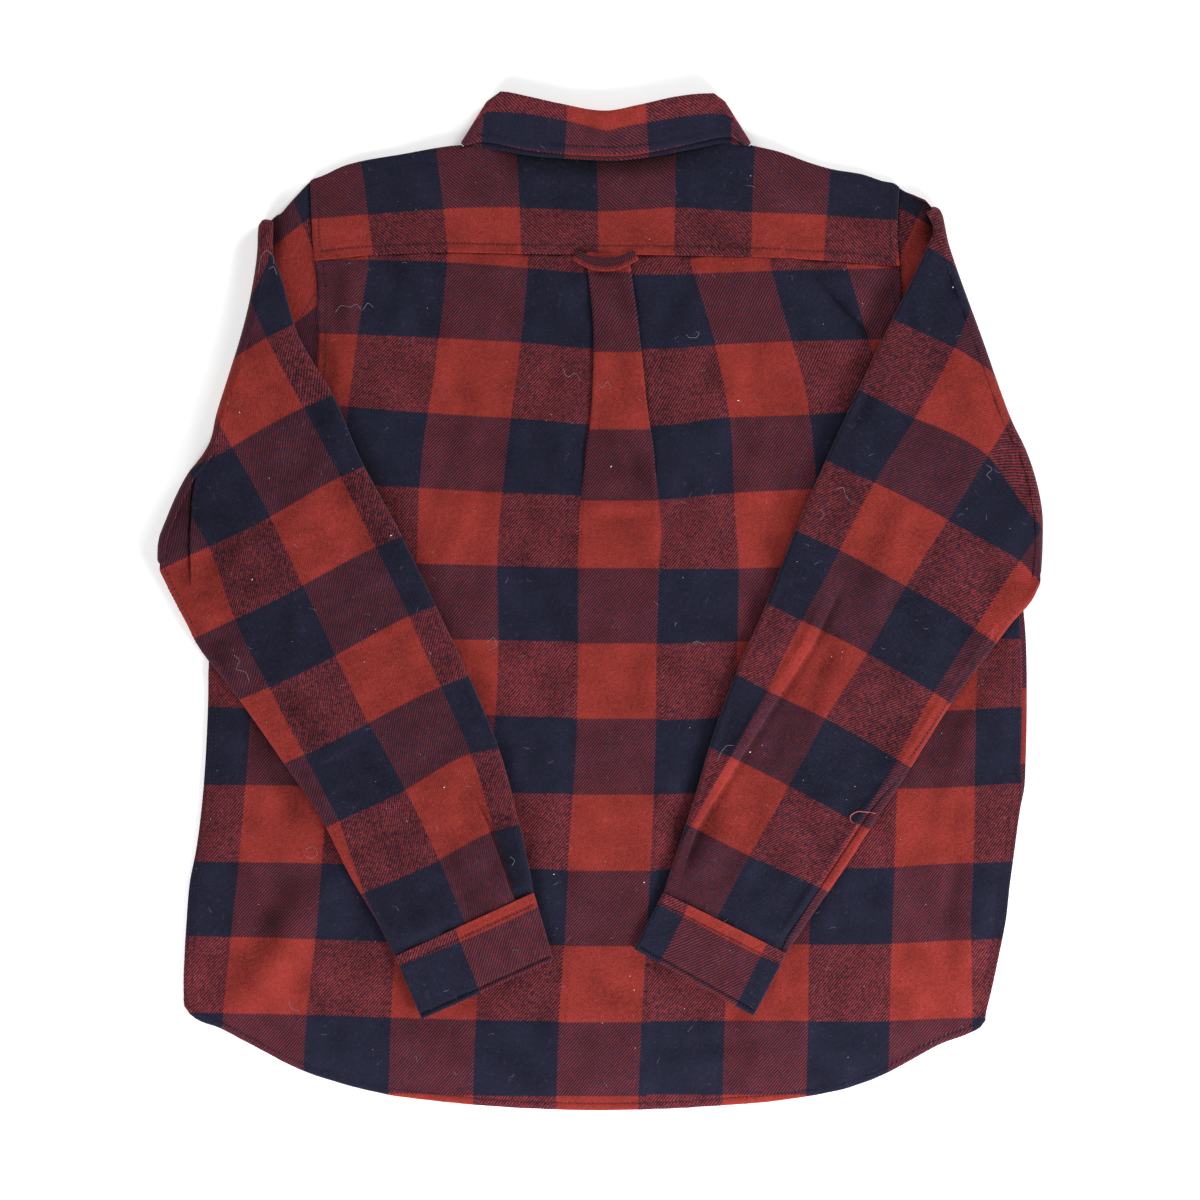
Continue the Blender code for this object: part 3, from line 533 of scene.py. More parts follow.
def ripple(x, y, length, seed):
    """Slow unevenness of soft cloth: a few waves in mixed directions, about -1 to 1."""
    draw = np.random.default_rng(seed)
    total = 0
    for _ in range(10):
        turn = draw.uniform(0, 2 * math.pi)
        wave = 2 * math.pi / (length * draw.uniform(0.6, 1.7))
        phase = draw.uniform(0, 2 * math.pi)
        total = total + np.sin((x * math.cos(turn) + y * math.sin(turn)) * wave + phase)
    return total / 3.2


def from_sides(x, y):
    """How far a place is inside the body's nearer side."""
    return np.minimum(x - body_left(y), body_right(y) - x)


def crease_height(x, y, rows):
    """Soft ridges and troughs along straight lines, strongest in the middle."""
    total = np.zeros(np.broadcast(x, y).shape)
    for x0, y0, x1, y1, half_width, height in rows:
        dx, dy = x1 - x0, y1 - y0
        along = np.clip(((x - x0) * dx + (y - y0) * dy) / (dx * dx + dy * dy), 0, 1)
        away = np.hypot(x - x0 - along * dx, y - y0 - along * dy)
        swell = 0.4 + 0.6 * np.sin(math.pi * along)
        total = total + height * swell * hump(away, half_width)
    return total


def back_rise(x, y):
    """How far the lap and the collar lift what lies over the fronts."""
    ridge = 4.1 * fade(30, 120, np.abs(x - curve(LAP_LINE, y))) * fade(318, 352, y)
    neck = 3.6 * near_neck(x, y)
    return 0.5 * (neck + ridge + np.sqrt((neck - ridge) ** 2 + 0.2))


def back_middle(x, y):
    loose = (1 - fade(0, 24, from_sides(x, y))) * (1 - fade(0, 26, y - curve(HEM, x)))
    loose = loose * (1 - fade(0, 16, curve(YOKE_SEAM, x) - y))
    folds = crease_height(x, y, BACK_FOLDS)
    return 1.5 * CLOTH + GAP + back_rise(x, y) + (BILLOW + folds) * loose


def all_columns(rows, at):
    """Every column of a table at a station, along a new last axis."""
    return np.stack([curve(rows, at, k) for k in range(1, len(rows[0]))], -1)


def between_lines(lines, numbers, at):
    """Place of each value between its own rising lines, read as a number."""
    k = (at[..., None] >= lines[..., 1:-1]).sum(-1)[..., None]
    a = np.take_along_axis(lines, k, -1)[..., 0]
    b = np.take_along_axis(lines, k + 1, -1)[..., 0]
    i = np.take_along_axis(numbers, k, -1)[..., 0]
    j = np.take_along_axis(numbers, k + 1, -1)[..., 0]
    return i + (at - a) / (b - a) * (j - i)


def back_check(x, y, part):
    """Stripe and band of the back: part is -1 left of the pleat, 0 on it, 1 right of it."""
    outside, inside = curve(PLEAT_TAKEN, y, 1), curve(PLEAT_TAKEN, y, 2)
    lines = all_columns(BACK_STRIPES, y)
    level = np.zeros_like(x)
    left = np.stack([level - 4, level - 3, level - 2, level - 1, -outside], -1)
    middle = np.stack([inside, 1 - inside], -1)
    right = np.stack([1 + outside, level + 2, level + 3, level + 4, level + 5], -1)
    stripe = np.where(part < 0, between_lines(lines[..., :5], left, x),
                      between_lines(lines[..., 5:], right, x))
    stripe = np.where(part == 0, between_lines(lines[..., 4:6], middle, x), stripe)
    bands = all_columns(BACK_BANDS, np.where(part < 0, np.minimum(x, -12), np.maximum(x, 48.5)))
    bands = np.where((part == 0)[..., None], np.array(PLEAT_BANDS, dtype=float), bands)
    numbers = np.zeros_like(bands) - np.arange(12.0)[::-1]
    return np.stack([stripe, -between_lines(bands[..., ::-1], numbers, y)], -1)


def pleat_section(y):
    """Middle line of the cloth across the box pleat, as rows of (x, step, part)."""
    left, right, taken = all_columns(PLEAT, y)
    reach = max(taken / 2, PLEAT_STEP)
    turned = [(-PLEAT_SPREAD, 0, -1), (-PLEAT_SPREAD / 2, 0, -1), (-1.5, 0, -1), (0, 0, -1),
              (reach * 0.35, 0, -1), (reach * 0.7, 0.05, -1), (reach * 0.93, 0.2, -1),
              (reach, 0.5, -1), (reach * 0.93, 0.8, 0), (reach * 0.7, 0.95, 0),
              (reach * 0.35, 1, 0), (0.4, 1, 0), (-0.15, 1.15, 0), (-0.4, 1.5, 0),
              (-0.15, 1.85, 0), (0.6, 2, 0), (3.0, 2, 0), (6.0, 2, 0)]
    share = min(taken / 2 / PLEAT_STEP, 1.0)
    flat = np.linspace(-PLEAT_SPREAD, 6.0, len(turned))
    side = [(left + x * share + level * (1 - share), step * share * PLEAT_STEP, part)
            for (x, step, part), level in zip(turned, flat)]
    width = right - left
    middle = [(left + width * s, 2 * share * PLEAT_STEP, 0) for s in np.linspace(0, 1, 9)[2:-2]]
    mirror = [(left + right - x, step, -part) for x, step, part in side[::-1]]
    return side + middle + mirror


THREAD = (0.014, 0.013, 0.026)
THREAD_THICK = 0.62
STITCH = 2.4
STITCH_PITCH = 3.2
STITCH_STEP = 0.8       # no stitch is made where the cloth steps further than this
# At four places along a stitch: share of its length, height, share of its thickness
STITCH_FORM = np.array([(-0.5, -0.30, 0.3), (-0.3, 0.14, 1), (0.3, 0.14, 1), (0.5, -0.30, 0.3)])


def path(points, at):
    """A smooth plan curve through points, read at shares of its length."""
    points = np.array(points, dtype=float)
    steps = np.hypot(*np.diff(points, axis=0).T)
    station = np.concatenate([[0], np.cumsum(steps)]) / steps.sum()
    rows = np.column_stack([station, points])
    return all_columns(rows, at)


def surface_of(pieces):
    """A search tree of the pieces' surfaces."""
    points, faces = [], []
    for piece in pieces:
        first = len(points)
        points += [vertex.co for vertex in piece.data.vertices]
        faces += [[first + k for k in face.vertices] for face in piece.data.polygons]
    return BVHTree.FromPolygons(points, faces)


def heights(tree, plan):
    """Heights of the surface straight below points of the plan, nan where there is none."""
    down = Vector((0, 0, -1))
    found = [tree.ray_cast(Vector((x * MM, y * MM, 0.2)), down)[0] for x, y in plan]
    return np.array([math.nan if hit is None else hit.z / MM for hit in found])


def tubes(name, runs, sides, finish):
    """One mesh of many thin tubes, each run rows of x, y, z and radius, closed at its ends."""
    points, faces = [], []
    around = np.linspace(0, 2 * math.pi, sides, endpoint=False)
    for run in runs:
        run = np.array(run)
        way = np.gradient(run[:, :2], axis=0)
        way = way / np.maximum(np.hypot(*way.T), 1e-6)[:, None]
        first = len(points)
        for (x, y, z, radius), (dx, dy) in zip(run, way):
            for c, h in zip(np.cos(around) * radius, np.sin(around) * radius):
                points.append(((x - dy * c) * MM, (y + dx * c) * MM, (z + h) * MM))
        for k in range(len(run) - 1):
            for m in range(sides):
                low, high = first + k * sides, first + (k + 1) * sides
                n = (m + 1) % sides
                faces.append((low + m, low + n, high + n, high + m))
        faces.append([first + m for m in range(sides)][::-1])
        faces.append([first + (len(run) - 1) * sides + m for m in range(sides)])
    return smooth_piece(name, points, faces, finish)


def thread_finish(name, colour, roughness):
    thread = Finish(name, roughness, Specular_IOR_Level=0.2)
    place = thread.node("ShaderNodeTexCoord", {}, {}, output=3)
    varied = thread.scaled(colour, thread.noise(place, 0.004) * 1.2 + 1)
    thread.feed(thread.shader.inputs["Base Color"], varied)
    return thread.material


sewing_thread = thread_finish("sewing_thread", THREAD, 0.8)


def sew(name, piece, lines):
    """Rows of stitches on a piece along plan lines, each sunk in the cloth at both ends."""
    tree = surface_of([piece])
    runs = []
    for line in lines:
        length = np.hypot(*np.diff(np.array(line), axis=0).T).sum()
        count = max(int(length / STITCH_PITCH), 2)
        plan = path(line, np.linspace(0, 1, 2 * count + 1))
        way = unit(plan[2::2] - plan[:-2:2])
        for middle, step in zip(plan[1::2], way):
            spots = middle + step * (STITCH * STITCH_FORM[:, :1])
            z = heights(tree, spots)
            if np.ptp(z) < STITCH_STEP:
                z = z + STITCH_FORM[:, 1]
                runs.append(np.column_stack([spots, z, THREAD_THICK / 2 * STITCH_FORM[:, 2]]))
    stitches = tubes(name, runs, 5, sewing_thread)
    return stitches


def back_edge(side, y):
    """The back's side edge; on the right the side seam rolls in under the sleeve."""
    if side < 0:
        return body_left(y)
    return body_right(y) - 4.2 * fade(10, 34, y) * (1 - fade(-170, -130, y))


def make_back():
    from_hem = np.array([0, 0.7, 2.0, 3.4, 4.4, 5.0, 5.6, 6.6, 8.2, 10.5, 13.5])
    levels = np.concatenate([np.linspace(0, 0.98, 175), 1 - from_hem[::-1] / 693])
    side_columns = 72
    rows = []
    for level in levels:
        y_mid = BACK_TOP - level * (BACK_TOP - float(curve(HEM, 0)))
        section = pleat_section(y_mid)
        left, right = float(body_left(y_mid)), float(body_right(y_mid))
        flat = [(x, 0.0, -1) for x in np.linspace(left, section[0][0], side_columns)[:-1]]
        flat += section
        flat += [(x, 0.0, 1) for x in np.linspace(section[-1][0], right, side_columns)[1:]]
        rows.append(flat)
    table = np.array(rows)
    x, step, part = table[..., 0], table[..., 1], table[..., 2]
    upper, lower = curve(YOKE_SEAM, x) - GAP, curve(HEM, x)
    y = upper - levels[:, None] * (upper - lower)
    share = 1 - np.arange(side_columns) / side_columns
    x[:, :side_columns] += (body_left(y[:, 0]) - x[:, 0])[:, None] * share
    x[:, -side_columns:] += ((back_edge(1, y[:, -1]) - x[:, -1])[:, None] * share)[:, ::-1]
    cloth = back_check(x, y, part)
    relief = crease_height(x, y, BACK_CREASES)
    relief = relief + 0.55 * ripple(x, y, 42, 3) + 0.26 * ripple(x, y, 16, 4)
    from_edge = y - lower
    relief = relief + 0.4 * hump(from_edge, 8) * ripple(x, 0, 11, 5)
    groove = hump(from_edge - HEM_STITCH, STITCH_GROOVE)
    for row in ARMHOLE_STITCH:
        groove = groove + 0.75 * hump(from_sides(x, y) - row, STITCH_GROOVE)
    z = np.maximum(back_middle(x, y) + relief - 0.6 * groove, LOWEST) + step
    thick = CLOTH + 0.9 * fade(HEM_ALLOWANCE, HEM_ALLOWANCE + 1.4, from_edge)
    # Painted shade in troughs, stitch grooves, at the yoke seam and beside the sleeves; painted
    # highlight on crests, folds, the hem's edge and toward the hem
    crest = 0.6 * relief - 0.8 * groove + 0.9 * hump(from_edge, 3)
    crest = crest - 0.3 * fade(0, 3, upper - y) + 0.3 * crease_height(x, y, BACK_FOLDS)
    crest = crest + crease_height(x, y, PAINTED_SLEEVE_SHADOWS) + 0.45 * hump(from_edge, 45)
    # Painted shadow beside the pleat's edges
    from_pleat = np.where(part < 0, curve(PLEAT, y, 1) - x, x - curve(PLEAT, y, 2))
    pleat_shadow = np.clip(curve(PLEAT, y, 3) / 9, 0, 1) * (part != 0)
    crest = crest - 0.5 * pleat_shadow * hump(np.maximum(from_pleat, 0), 4)
    piece = cloth_wall("back_panel", np.dstack([x, y, z]), cloth, thick, body_flannel, crest)
    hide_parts("back")
    across = np.linspace(-322, 312, 54)
    lines = [np.column_stack([across, curve(HEM, across) + HEM_STITCH])]
    for side, lowest, highest in ARMHOLE_ROWS:
        rise = np.linspace(lowest, highest, 24)
        for row in ARMHOLE_STITCH:
            lines.append(np.column_stack([back_edge(side, rise) - side * row, rise]))
    stitches = sew("back_stitches", piece, lines)
    return piece


back_panel = make_back()

# ---------------------------------------------------------------------------
# The yoke.
# Double flannel cut on the cross, so that its check and its twill line differ
# from the back's. It runs over both shoulders a little way down the front.

DOUBLE = 2.0
YOKE_LIFT = 3.05
YOKE_OVER_PLEAT = 1.4
YOKE_LAP = 0.8          # how far the yoke's edge comes down over the seam
YOKE_STITCH = 6.4
YOKE_SIDE_STITCH = 5.0
PLEAT_CENTRE = 6.0
YOKE_STRIPES = [(365, -196, -133, -68, -4, 61.5, 125, 188),
                (348.5, -193, -131, -67, -3, 61, 124, 186.5),
                (290.5, -185.5, -124, -64, -1.5, 60, 122.5, 182),
                (274, -183, -122.5, -63, -1, 59.5, 122, 181)]
YOKE_BAND = [(-231, 309.5), (-189.5, 313), (-142, 316.5), (-81, 318.5), (-32.5, 317),
             (-2.5, 315), (32.5, 316.5), (60, 318.5), (123, 314.5), (182, 312.5), (239, 308.5)]
CROSS_CHECK_H = 67.0
YOKE_CREASES = [(-70, 352, 80, 351, 8, -1.3), (-150, 345, -100, 300, 14, 0.9),
                (120, 340, 190, 300, 12, 0.9), (-20, 300, 40, 292, 9, -0.6),
                (-190, 330, -160, 296, 8, -0.7), (70, 330, 96, 300, 9, -0.6),
                (196, 330, 214, 296, 8, -0.6), (-100, 320, -70, 290, 8, 0.5)]


def stripe_number(rows, place):
    """Stripe number of each place, the rows telling where the edges of 1, 2 and so on run."""
    lines = all_columns(rows, place[..., 1])
    numbers = np.zeros_like(lines) + np.arange(1.0, lines.shape[-1] + 1)
    return between_lines(lines, numbers, place[..., 0])


def yoke_middle(x, y, rise):
    """Middle of the yoke, rise being its share of the way from the seam to the shoulder."""
    over_pleat = YOKE_OVER_PLEAT * fade(22, 50, np.abs(x - PLEAT_CENTRE)) * fade(0.1, 0.6, rise)
    return YOKE_LIFT + 0.6 * rise + back_rise(x, y) + over_pleat


def make_yoke():
    neck_left, neck_right = SHOULDER_LEFT[-1][0], SHOULDER_RIGHT[0][0]
    tip_left, tip_right = SHOULDER_LEFT[0][0] + GAP, SHOULDER_RIGHT[-1][0] - GAP
    tops = np.concatenate([np.linspace(tip_left, neck_left, 45),
                           np.linspace(neck_left + 3, neck_right - 3, 75),
                           np.linspace(neck_right, tip_right, 45)])
    first, last = YOKE_SEAM[0][0] + GAP, YOKE_SEAM[-1][0] - GAP
    share = (tops - tip_left) / (tip_right - tip_left)
    low_y = curve(YOKE_SEAM, first + share * (last - first)) - YOKE_LAP
    edge_y = shoulder(tops) - DOUBLE / 2 - 0.4
    lower = DOUBLE / 2 + 2.5 * near_neck(tops, edge_y)
    upper = yoke_middle(tops, edge_y, 1.0)
    radius = (upper - lower) / 2
    at_neck = (tops > neck_left) & (tops < neck_right)
    high_y = edge_y - radius + 5.5 * at_neck
    from_seam = np.array([0, 0.008, 0.02, 0.035, 0.05, 0.065, 0.08, 0.1])
    rises = np.concatenate([from_seam, np.linspace(0.125, 1, 36)])
    rows, unrolled, crests = [], [], []
    for rise in rises:
        y = low_y + rise * (high_y - low_y)
        left, right = body_left(y) + GAP, body_right(y) - GAP
        x = left + share * (right - left)
        relief = crease_height(x, y, YOKE_CREASES)
        relief = relief + 0.45 * ripple(x, y, 40, 11) + 0.2 * ripple(x, y, 14, 12)
        relief = relief + 0.3 * ripple(x, y, 9, 13) * hump(y - low_y - 4, 5)
        relief = relief * fade(0.8, 1.0, rise)
        under_collar = fade(0, 18, edge_y - y) * fade(84, 112, np.abs(x - NECK_X))
        stitched = hump(y - low_y - YOKE_STITCH, STITCH_GROOVE)
        stitched = stitched + hump(from_sides(x, y) - YOKE_SIDE_STITCH, STITCH_GROOVE)
        z = yoke_middle(x, y, rise) + relief - 0.4 * stitched - 2.2 * under_collar
        rows.append(np.column_stack([x, y, z]))
        # Painted shadow under the collar's edge; painted shade in creases and stitch grooves,
        # painted highlight on crests
        shaded = fade(5, 22, edge_y + 6 - y) * fade(60, 112, np.abs(x - NECK_X))
        crests.append(0.6 * relief - 0.9 * stitched - 2.4 * shaded)
        unrolled.append(np.column_stack([x, y]))
    for turn in np.radians(np.linspace(0, 180, 9)[1:]):
        y = high_y + radius * math.sin(turn)
        z = (upper + lower) / 2 + radius * math.cos(turn)
        rows.append(np.column_stack([tops, y, z]))
        # Painted highlight along the yoke's rolled shoulder edge
        crests.append(np.full(len(tops), 0.5))
        unrolled.append(np.column_stack([tops, high_y + radius * turn]))
    for drop in np.linspace(0, 1, 11)[1:]:
        y = high_y - drop * (YOKE_WRAP - radius)
        rows.append(np.column_stack([tops, y, DOUBLE / 2 + front_bottom(tops, y)]))
        crests.append(np.zeros(len(tops)))
        unrolled.append(np.column_stack([tops, 2 * high_y + radius * math.pi - y]))
    grid, place = np.array(rows)[::-1], np.array(unrolled)[::-1]
    stripe = stripe_number(YOKE_STRIPES, place)
    band = 1 + (curve(YOKE_BAND, place[..., 0]) - place[..., 1]) / CROSS_CHECK_H
    kept = np.ones((len(grid) - 1, len(tops) - 1), dtype=bool)
    hole = at_neck[:-1] | at_neck[1:]
    kept[:len(grid) - len(rises), hole] = False
    piece = cloth_wall("yoke_double", grid, np.dstack([stripe, band]), DOUBLE, cross_flannel,
                       np.array(crests)[::-1], kept)
    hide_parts("yoke")
    across = np.linspace(-226, 236, 40)
    lines = [np.column_stack([across, curve(YOKE_SEAM, across) - YOKE_LAP + YOKE_STITCH])]
    for side in (-1, 1):
        rise = np.linspace(286, 331, 8)
        lines.append(np.column_stack([body_edge(side, rise) - side * YOKE_SIDE_STITCH, rise]))
    stitches = sew("yoke_stitches", piece, lines)
    return piece


yoke = make_yoke()

# ---------------------------------------------------------------------------
# The hanging loop.
# A narrow strip of flannel, folded and edge stitched, caught at both ends in
# the yoke seam over the pleat and bowing down between them.

TAPE = 1.4
LOOP = [(-20, 279.5), (-12, 275), (-3, 272.3), (5, 271.6), (13, 272.5), (21, 275.3),
        (29, 279.3)]
LOOP_WIDTH = 7.6        # at its ends; it is spread wider in the middle
LOOP_SPREAD = 2.8
LOOP_RED = 2.8          # width of the red band along its lower edge
LOOP_STRIPE = (0.06, 0.91)    # stripe numbers at its two ends
LOOP_BOW = 1.3          # how far its lower edge stands up in the middle
LOOP_STITCH = 1.2


def make_loop():
    shares = np.linspace(0, 1, 61)
    line = path(LOOP, shares)
    along = np.gradient(line, axis=0)
    along = along / np.linalg.norm(along, axis=1)[:, None]
    across = np.column_stack([-along[:, 1], along[:, 0]])
    grid, cloth = [], []
    width = LOOP_WIDTH + LOOP_SPREAD * np.sin(math.pi * shares)
    for place in np.linspace(0.5, -0.5, 11):
        offset = place * width
        plan = line + across * offset[:, None]
        x, y = plan[:, 0], plan[:, 1]
        over_pleat = 2 * PLEAT_STEP * fade(22, 30, np.abs(x - PLEAT_CENTRE))
        z = back_middle(x, y) + over_pleat + CLOTH / 2 + 2 * GAP + TAPE / 2
        z = z + LOOP_BOW * np.sin(math.pi * shares) * (0.5 - place)
        grid.append(np.column_stack([x, y, z]))
        edge_band = 1 - (offset + width / 2 - LOOP_RED) / CHECK_H
        stripe = LOOP_STRIPE[0] + shares * (LOOP_STRIPE[1] - LOOP_STRIPE[0])
        cloth.append(np.column_stack([stripe, edge_band]))
    piece = cloth_wall("hanging_loop", np.array(grid), np.array(cloth), TAPE, body_flannel)
    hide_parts("locker_loop")
    lines = [line + across * (side * (width / 2 - LOOP_STITCH))[:, None] for side in (-1, 1)]
    stitches = sew("loop_stitches", piece, lines)
    return piece


loop = make_loop()

# ---------------------------------------------------------------------------
# The collar.
# A narrow stand set on the neck, and a fall seamed to it that turns over along
# the roll and lies on the yoke. Both are fused double flannel cut on the cross.
# The ends turn round the neck and their points lie under the fronts.

FALL = 1.8
STAND = 1.6
COLLAR_Z = 5.5
STAND_R = 1.8
ROLLED = 1.0            # the under layer, which rolls out a little below the edge
FALL_R = 4.6
FALL_BACK = 2.1
FALL_STITCH = 5.0
UNDER_WIDTH = 7         # how far the under layer's strip reaches up behind the edge
UNDER_SHOWS = 1.7       # how much further it shows in the middle than at its ends
LAP_END = 12.0          # how far the stand runs on beyond the fall's ends
COLLAR_ROLL = [(-91.5, 409.5), (-87.5, 411.5), (-81, 412), (-57, 407.8), (-32, 402.2),
               (4, 396.5), (32, 401.4), (61, 407.8), (85, 410.3), (96, 410), (101, 407.8)]
# Neck seam, roll and edge where the collar turns under to the front
COLLAR_TURN = [(-107, 370.3), (-85.6, 412.6), (-111.9, 370.6)]
TURN_OUTWARD = (-0.886, 0.462)
ROLL_DIP = 9.0          # how far the roll comes down there
FRONT_ROLL = (-91, 409)       # where the front's roll is counted from
COLLAR_HALF = (112, 96.5, 116.7)    # half widths at the neck seam, roll and edge
BACK_SHARE = 0.88       # share of them that lies flat on the back
COLLAR_OVER = 4.7       # how far down the back from the edge the neck seam lies
# Front half of the collar, side to centre: neck seam, roll and edge, each x, y
FRONT_COLLAR = [(-97, 350, -68, 382, -121, 342), (-73, 327, -42, 357, -112, 308),
                (-42, 315, -18, 344, -82, 285), (-4, 310, 0, 339, -46, 270)]
COLLAR_STRIPES = [(412, -91.5, -25, 36.5, 103), (385, -95, -27.5, 37.5, 105.5),
                  (361, -96.5, -29, 39.5, 106)]
COLLAR_BAND = [(-105.5, 395.5), (-81, 395.5), (-29, 388.5), (-8, 383.5), (5.5, 380.5),
               (20, 383.5), (39, 387), (81, 393.5), (109.5, 394)]


def mirrored(points):
    """The same points on the other side of the collar's centre."""
    return [np.array([2 * NECK_X - x, y]) for x, y in points]


def collar_stations():
    """Lines across the collar, right round the neck.

    Each is its neck, roll and edge points, the way out where it turns under, how far it
    has turned, and what unrolls it: a shift, and the three points that it starts from.
    """
    outward = np.array(TURN_OUTWARD)
    fold = [np.array(point) - outward * FALL_R for point in COLLAR_TURN]
    down = unit(fold[2] - fold[1])
    left = []
    table = [(k, *row) for k, row in enumerate(FRONT_COLLAR)]
    for step in np.linspace(0, 3, 22)[::-1]:
        neck, roll, edge = all_columns(table, step).reshape(3, 2)
        shift = FALL_R * math.pi + np.hypot(*(roll - FRONT_ROLL))
        left.append((neck, roll, edge, 0.0, shift))
    for turn in np.radians(np.linspace(0, 180, 19)):
        dip = ROLL_DIP * math.sin(turn) if turn > math.pi / 2 else ROLL_DIP
        left.append((fold[0], fold[1] + down * dip, fold[2], turn, FALL_R * (math.pi - turn)))
    stations = [(*row[:3], outward, row[3], row[4], fold) for row in left]
    for share in np.linspace(-BACK_SHARE, BACK_SHARE, 81):
        neck_x, roll_x, edge_x = (NECK_X + share * half for half in COLLAR_HALF)
        neck = np.array([neck_x, float(curve(COLLAR_EDGE, neck_x)) - COLLAR_OVER])
        roll = np.array([roll_x, float(curve(COLLAR_ROLL, roll_x))])
        edge = np.array([edge_x, float(curve(COLLAR_EDGE, edge_x))])
        stations.append((neck, roll, edge, outward, math.pi, 0.0, (neck, roll, edge)))
    away = np.array([-outward[0], outward[1]])
    for neck, roll, edge, turn, shift in left[::-1]:
        stations.append((*mirrored((neck, roll, edge)), away, turn, shift, mirrored(fold)))
    return stations


def collar_point(plan, outward, turn, radius):
    x, y = plan + outward * radius * math.sin(turn)
    return (x, y, COLLAR_Z - radius * math.cos(turn))


def collar_cloth(place):
    band = (curve(COLLAR_BAND, place[..., 0]) - place[..., 1]) / CROSS_CHECK_H
    return np.dstack([stripe_number(COLLAR_STRIPES, place), band])


def fall_line(station):
    """Points of the fall from its seam over the roll to its edge, with place and painted shading.
    """
    _, roll, edge, outward, turn, shift, unrolled = station
    half = FALL / 2
    roll_r = (FALL_R - STAND_R) / 2
    down = unit(edge - roll)
    width = np.linalg.norm(edge - roll)
    section = [(half + FALL_BACK, STAND_R)]
    for bend in np.radians(np.linspace(-90, 90, 11)):
        section.append((half + roll_r * (1 - math.cos(bend)),
                        STAND_R + roll_r * (1 + math.sin(bend))))
    flat = np.concatenate([np.linspace(0.12, 0.85, 18), [0.88, 0.91, 0.94, 0.97, 1.0]])
    section += [(q * width, FALL_R) for q in flat]
    row, places, crests = [], [], []
    for q, radius in section:
        x, y, z = collar_point(roll + down * q, outward, turn, radius)
        on_flat = radius >= FALL_R and turn > 3
        groove = hump(width - q - FALL_STITCH, STITCH_GROOVE) * on_flat
        soft = 0.4 * on_flat * float(ripple(x, y, 26, 21))
        row.append((x, y, z - 0.4 * groove + soft))
        # Painted highlight over the whole fall and along its edge; painted shade in its stitch
        # groove and troughs
        crests.append(0.9 + 0.8 * soft - 1.1 * groove + 0.7 * hump(width - q, 2.5))
        own = unrolled[1] + unit(unrolled[2] - unrolled[1]) * q
        places.append(own + outward * shift)
    return row, places, crests


def stand_line(station):
    """Points of the stand from under the roll to the neck, with their places."""
    neck, roll, _, outward, turn, shift, unrolled = station
    top = roll + unit(neck - roll) * (FALL / 2 + FALL_BACK + CURVED_GAP)
    row, places = [], []
    for share in np.linspace(0, 1, 13):
        row.append(collar_point(top + (neck - top) * share, outward, turn, STAND_R))
        places.append(unrolled[1] + (unrolled[0] - unrolled[1]) * share + outward * shift)
    return row, places


def make_stand(stations):
    stand, places = (np.array(part) for part in zip(*map(stand_line, stations)))
    start = stand[0] + np.array([LAP_END, 0, 0])
    stand[-1, :, 2] += STAND + GAP
    lifted = stand[-1] - np.array([LAP_END, 0, 0])
    stand = np.concatenate([[start], stand, [lifted]])
    places = np.array([places[0], *places, places[-1]])
    cloth = collar_cloth(places).transpose(1, 0, 2)
    piece = cloth_wall("collar_stand_double", stand.transpose(1, 0, 2), cloth, STAND,
                       cross_flannel)
    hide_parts("collar_stand")


def make_under_edge():
    """The strip of the under layer that shows below the fall's edge."""
    across = np.linspace(-84, 80, 60)
    bow = np.sin(math.pi * (across - across[0]) / (across[-1] - across[0]))
    edge = curve(COLLAR_EDGE, across)
    stripe = collar_cloth(np.column_stack([across, edge])[None])[0, :, 0]
    rolled, cloth = [], []
    for share in np.linspace(0, 1, 7):
        out = UNDER_WIDTH - share * (UNDER_WIDTH + 0.2 + UNDER_SHOWS * bow ** 0.7)
        z = COLLAR_Z + FALL_R - FALL / 2 - ROLLED / 2 - 0.25 - 0.7 * share
        rolled.append(np.column_stack([across, edge + out, np.full(60, z)]))
        cloth.append(np.column_stack([stripe, np.full(60, 1.3 + share * 0.1)]))
    # Painted highlight: the under layer's strip is lightened a little
    under = cloth_wall("collar_under_edge", np.array(rolled), np.array(cloth), ROLLED,
                       cross_flannel, 0.3)
    return under


def make_fall(stations):
    fall, places, crest = (np.array(part) for part in zip(*map(fall_line, stations)))
    cloth = collar_cloth(places).transpose(1, 0, 2)
    piece = cloth_wall("collar_fall_double", fall.transpose(1, 0, 2), cloth, FALL,
                       cross_flannel, crest.T)
    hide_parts("collar_fall")
    across = np.linspace(-100, 108, 24)
    row = np.column_stack([across, curve(COLLAR_EDGE, across) + FALL_STITCH])
    stitches = sew("collar_stitches", piece, [row])
    under = make_under_edge()
    return piece


around_neck = collar_stations()
make_stand(around_neck)
collar = make_fall(around_neck)

# ---------------------------------------------------------------------------
# The sleeves.
# One tube of flannel each, closed by a felled seam. From the armhole it runs
# out flat, turns over along a slanting fold and lies across the back, bending
# at the elbow down to the cuff. A pleat takes it in where it enters the cuff.

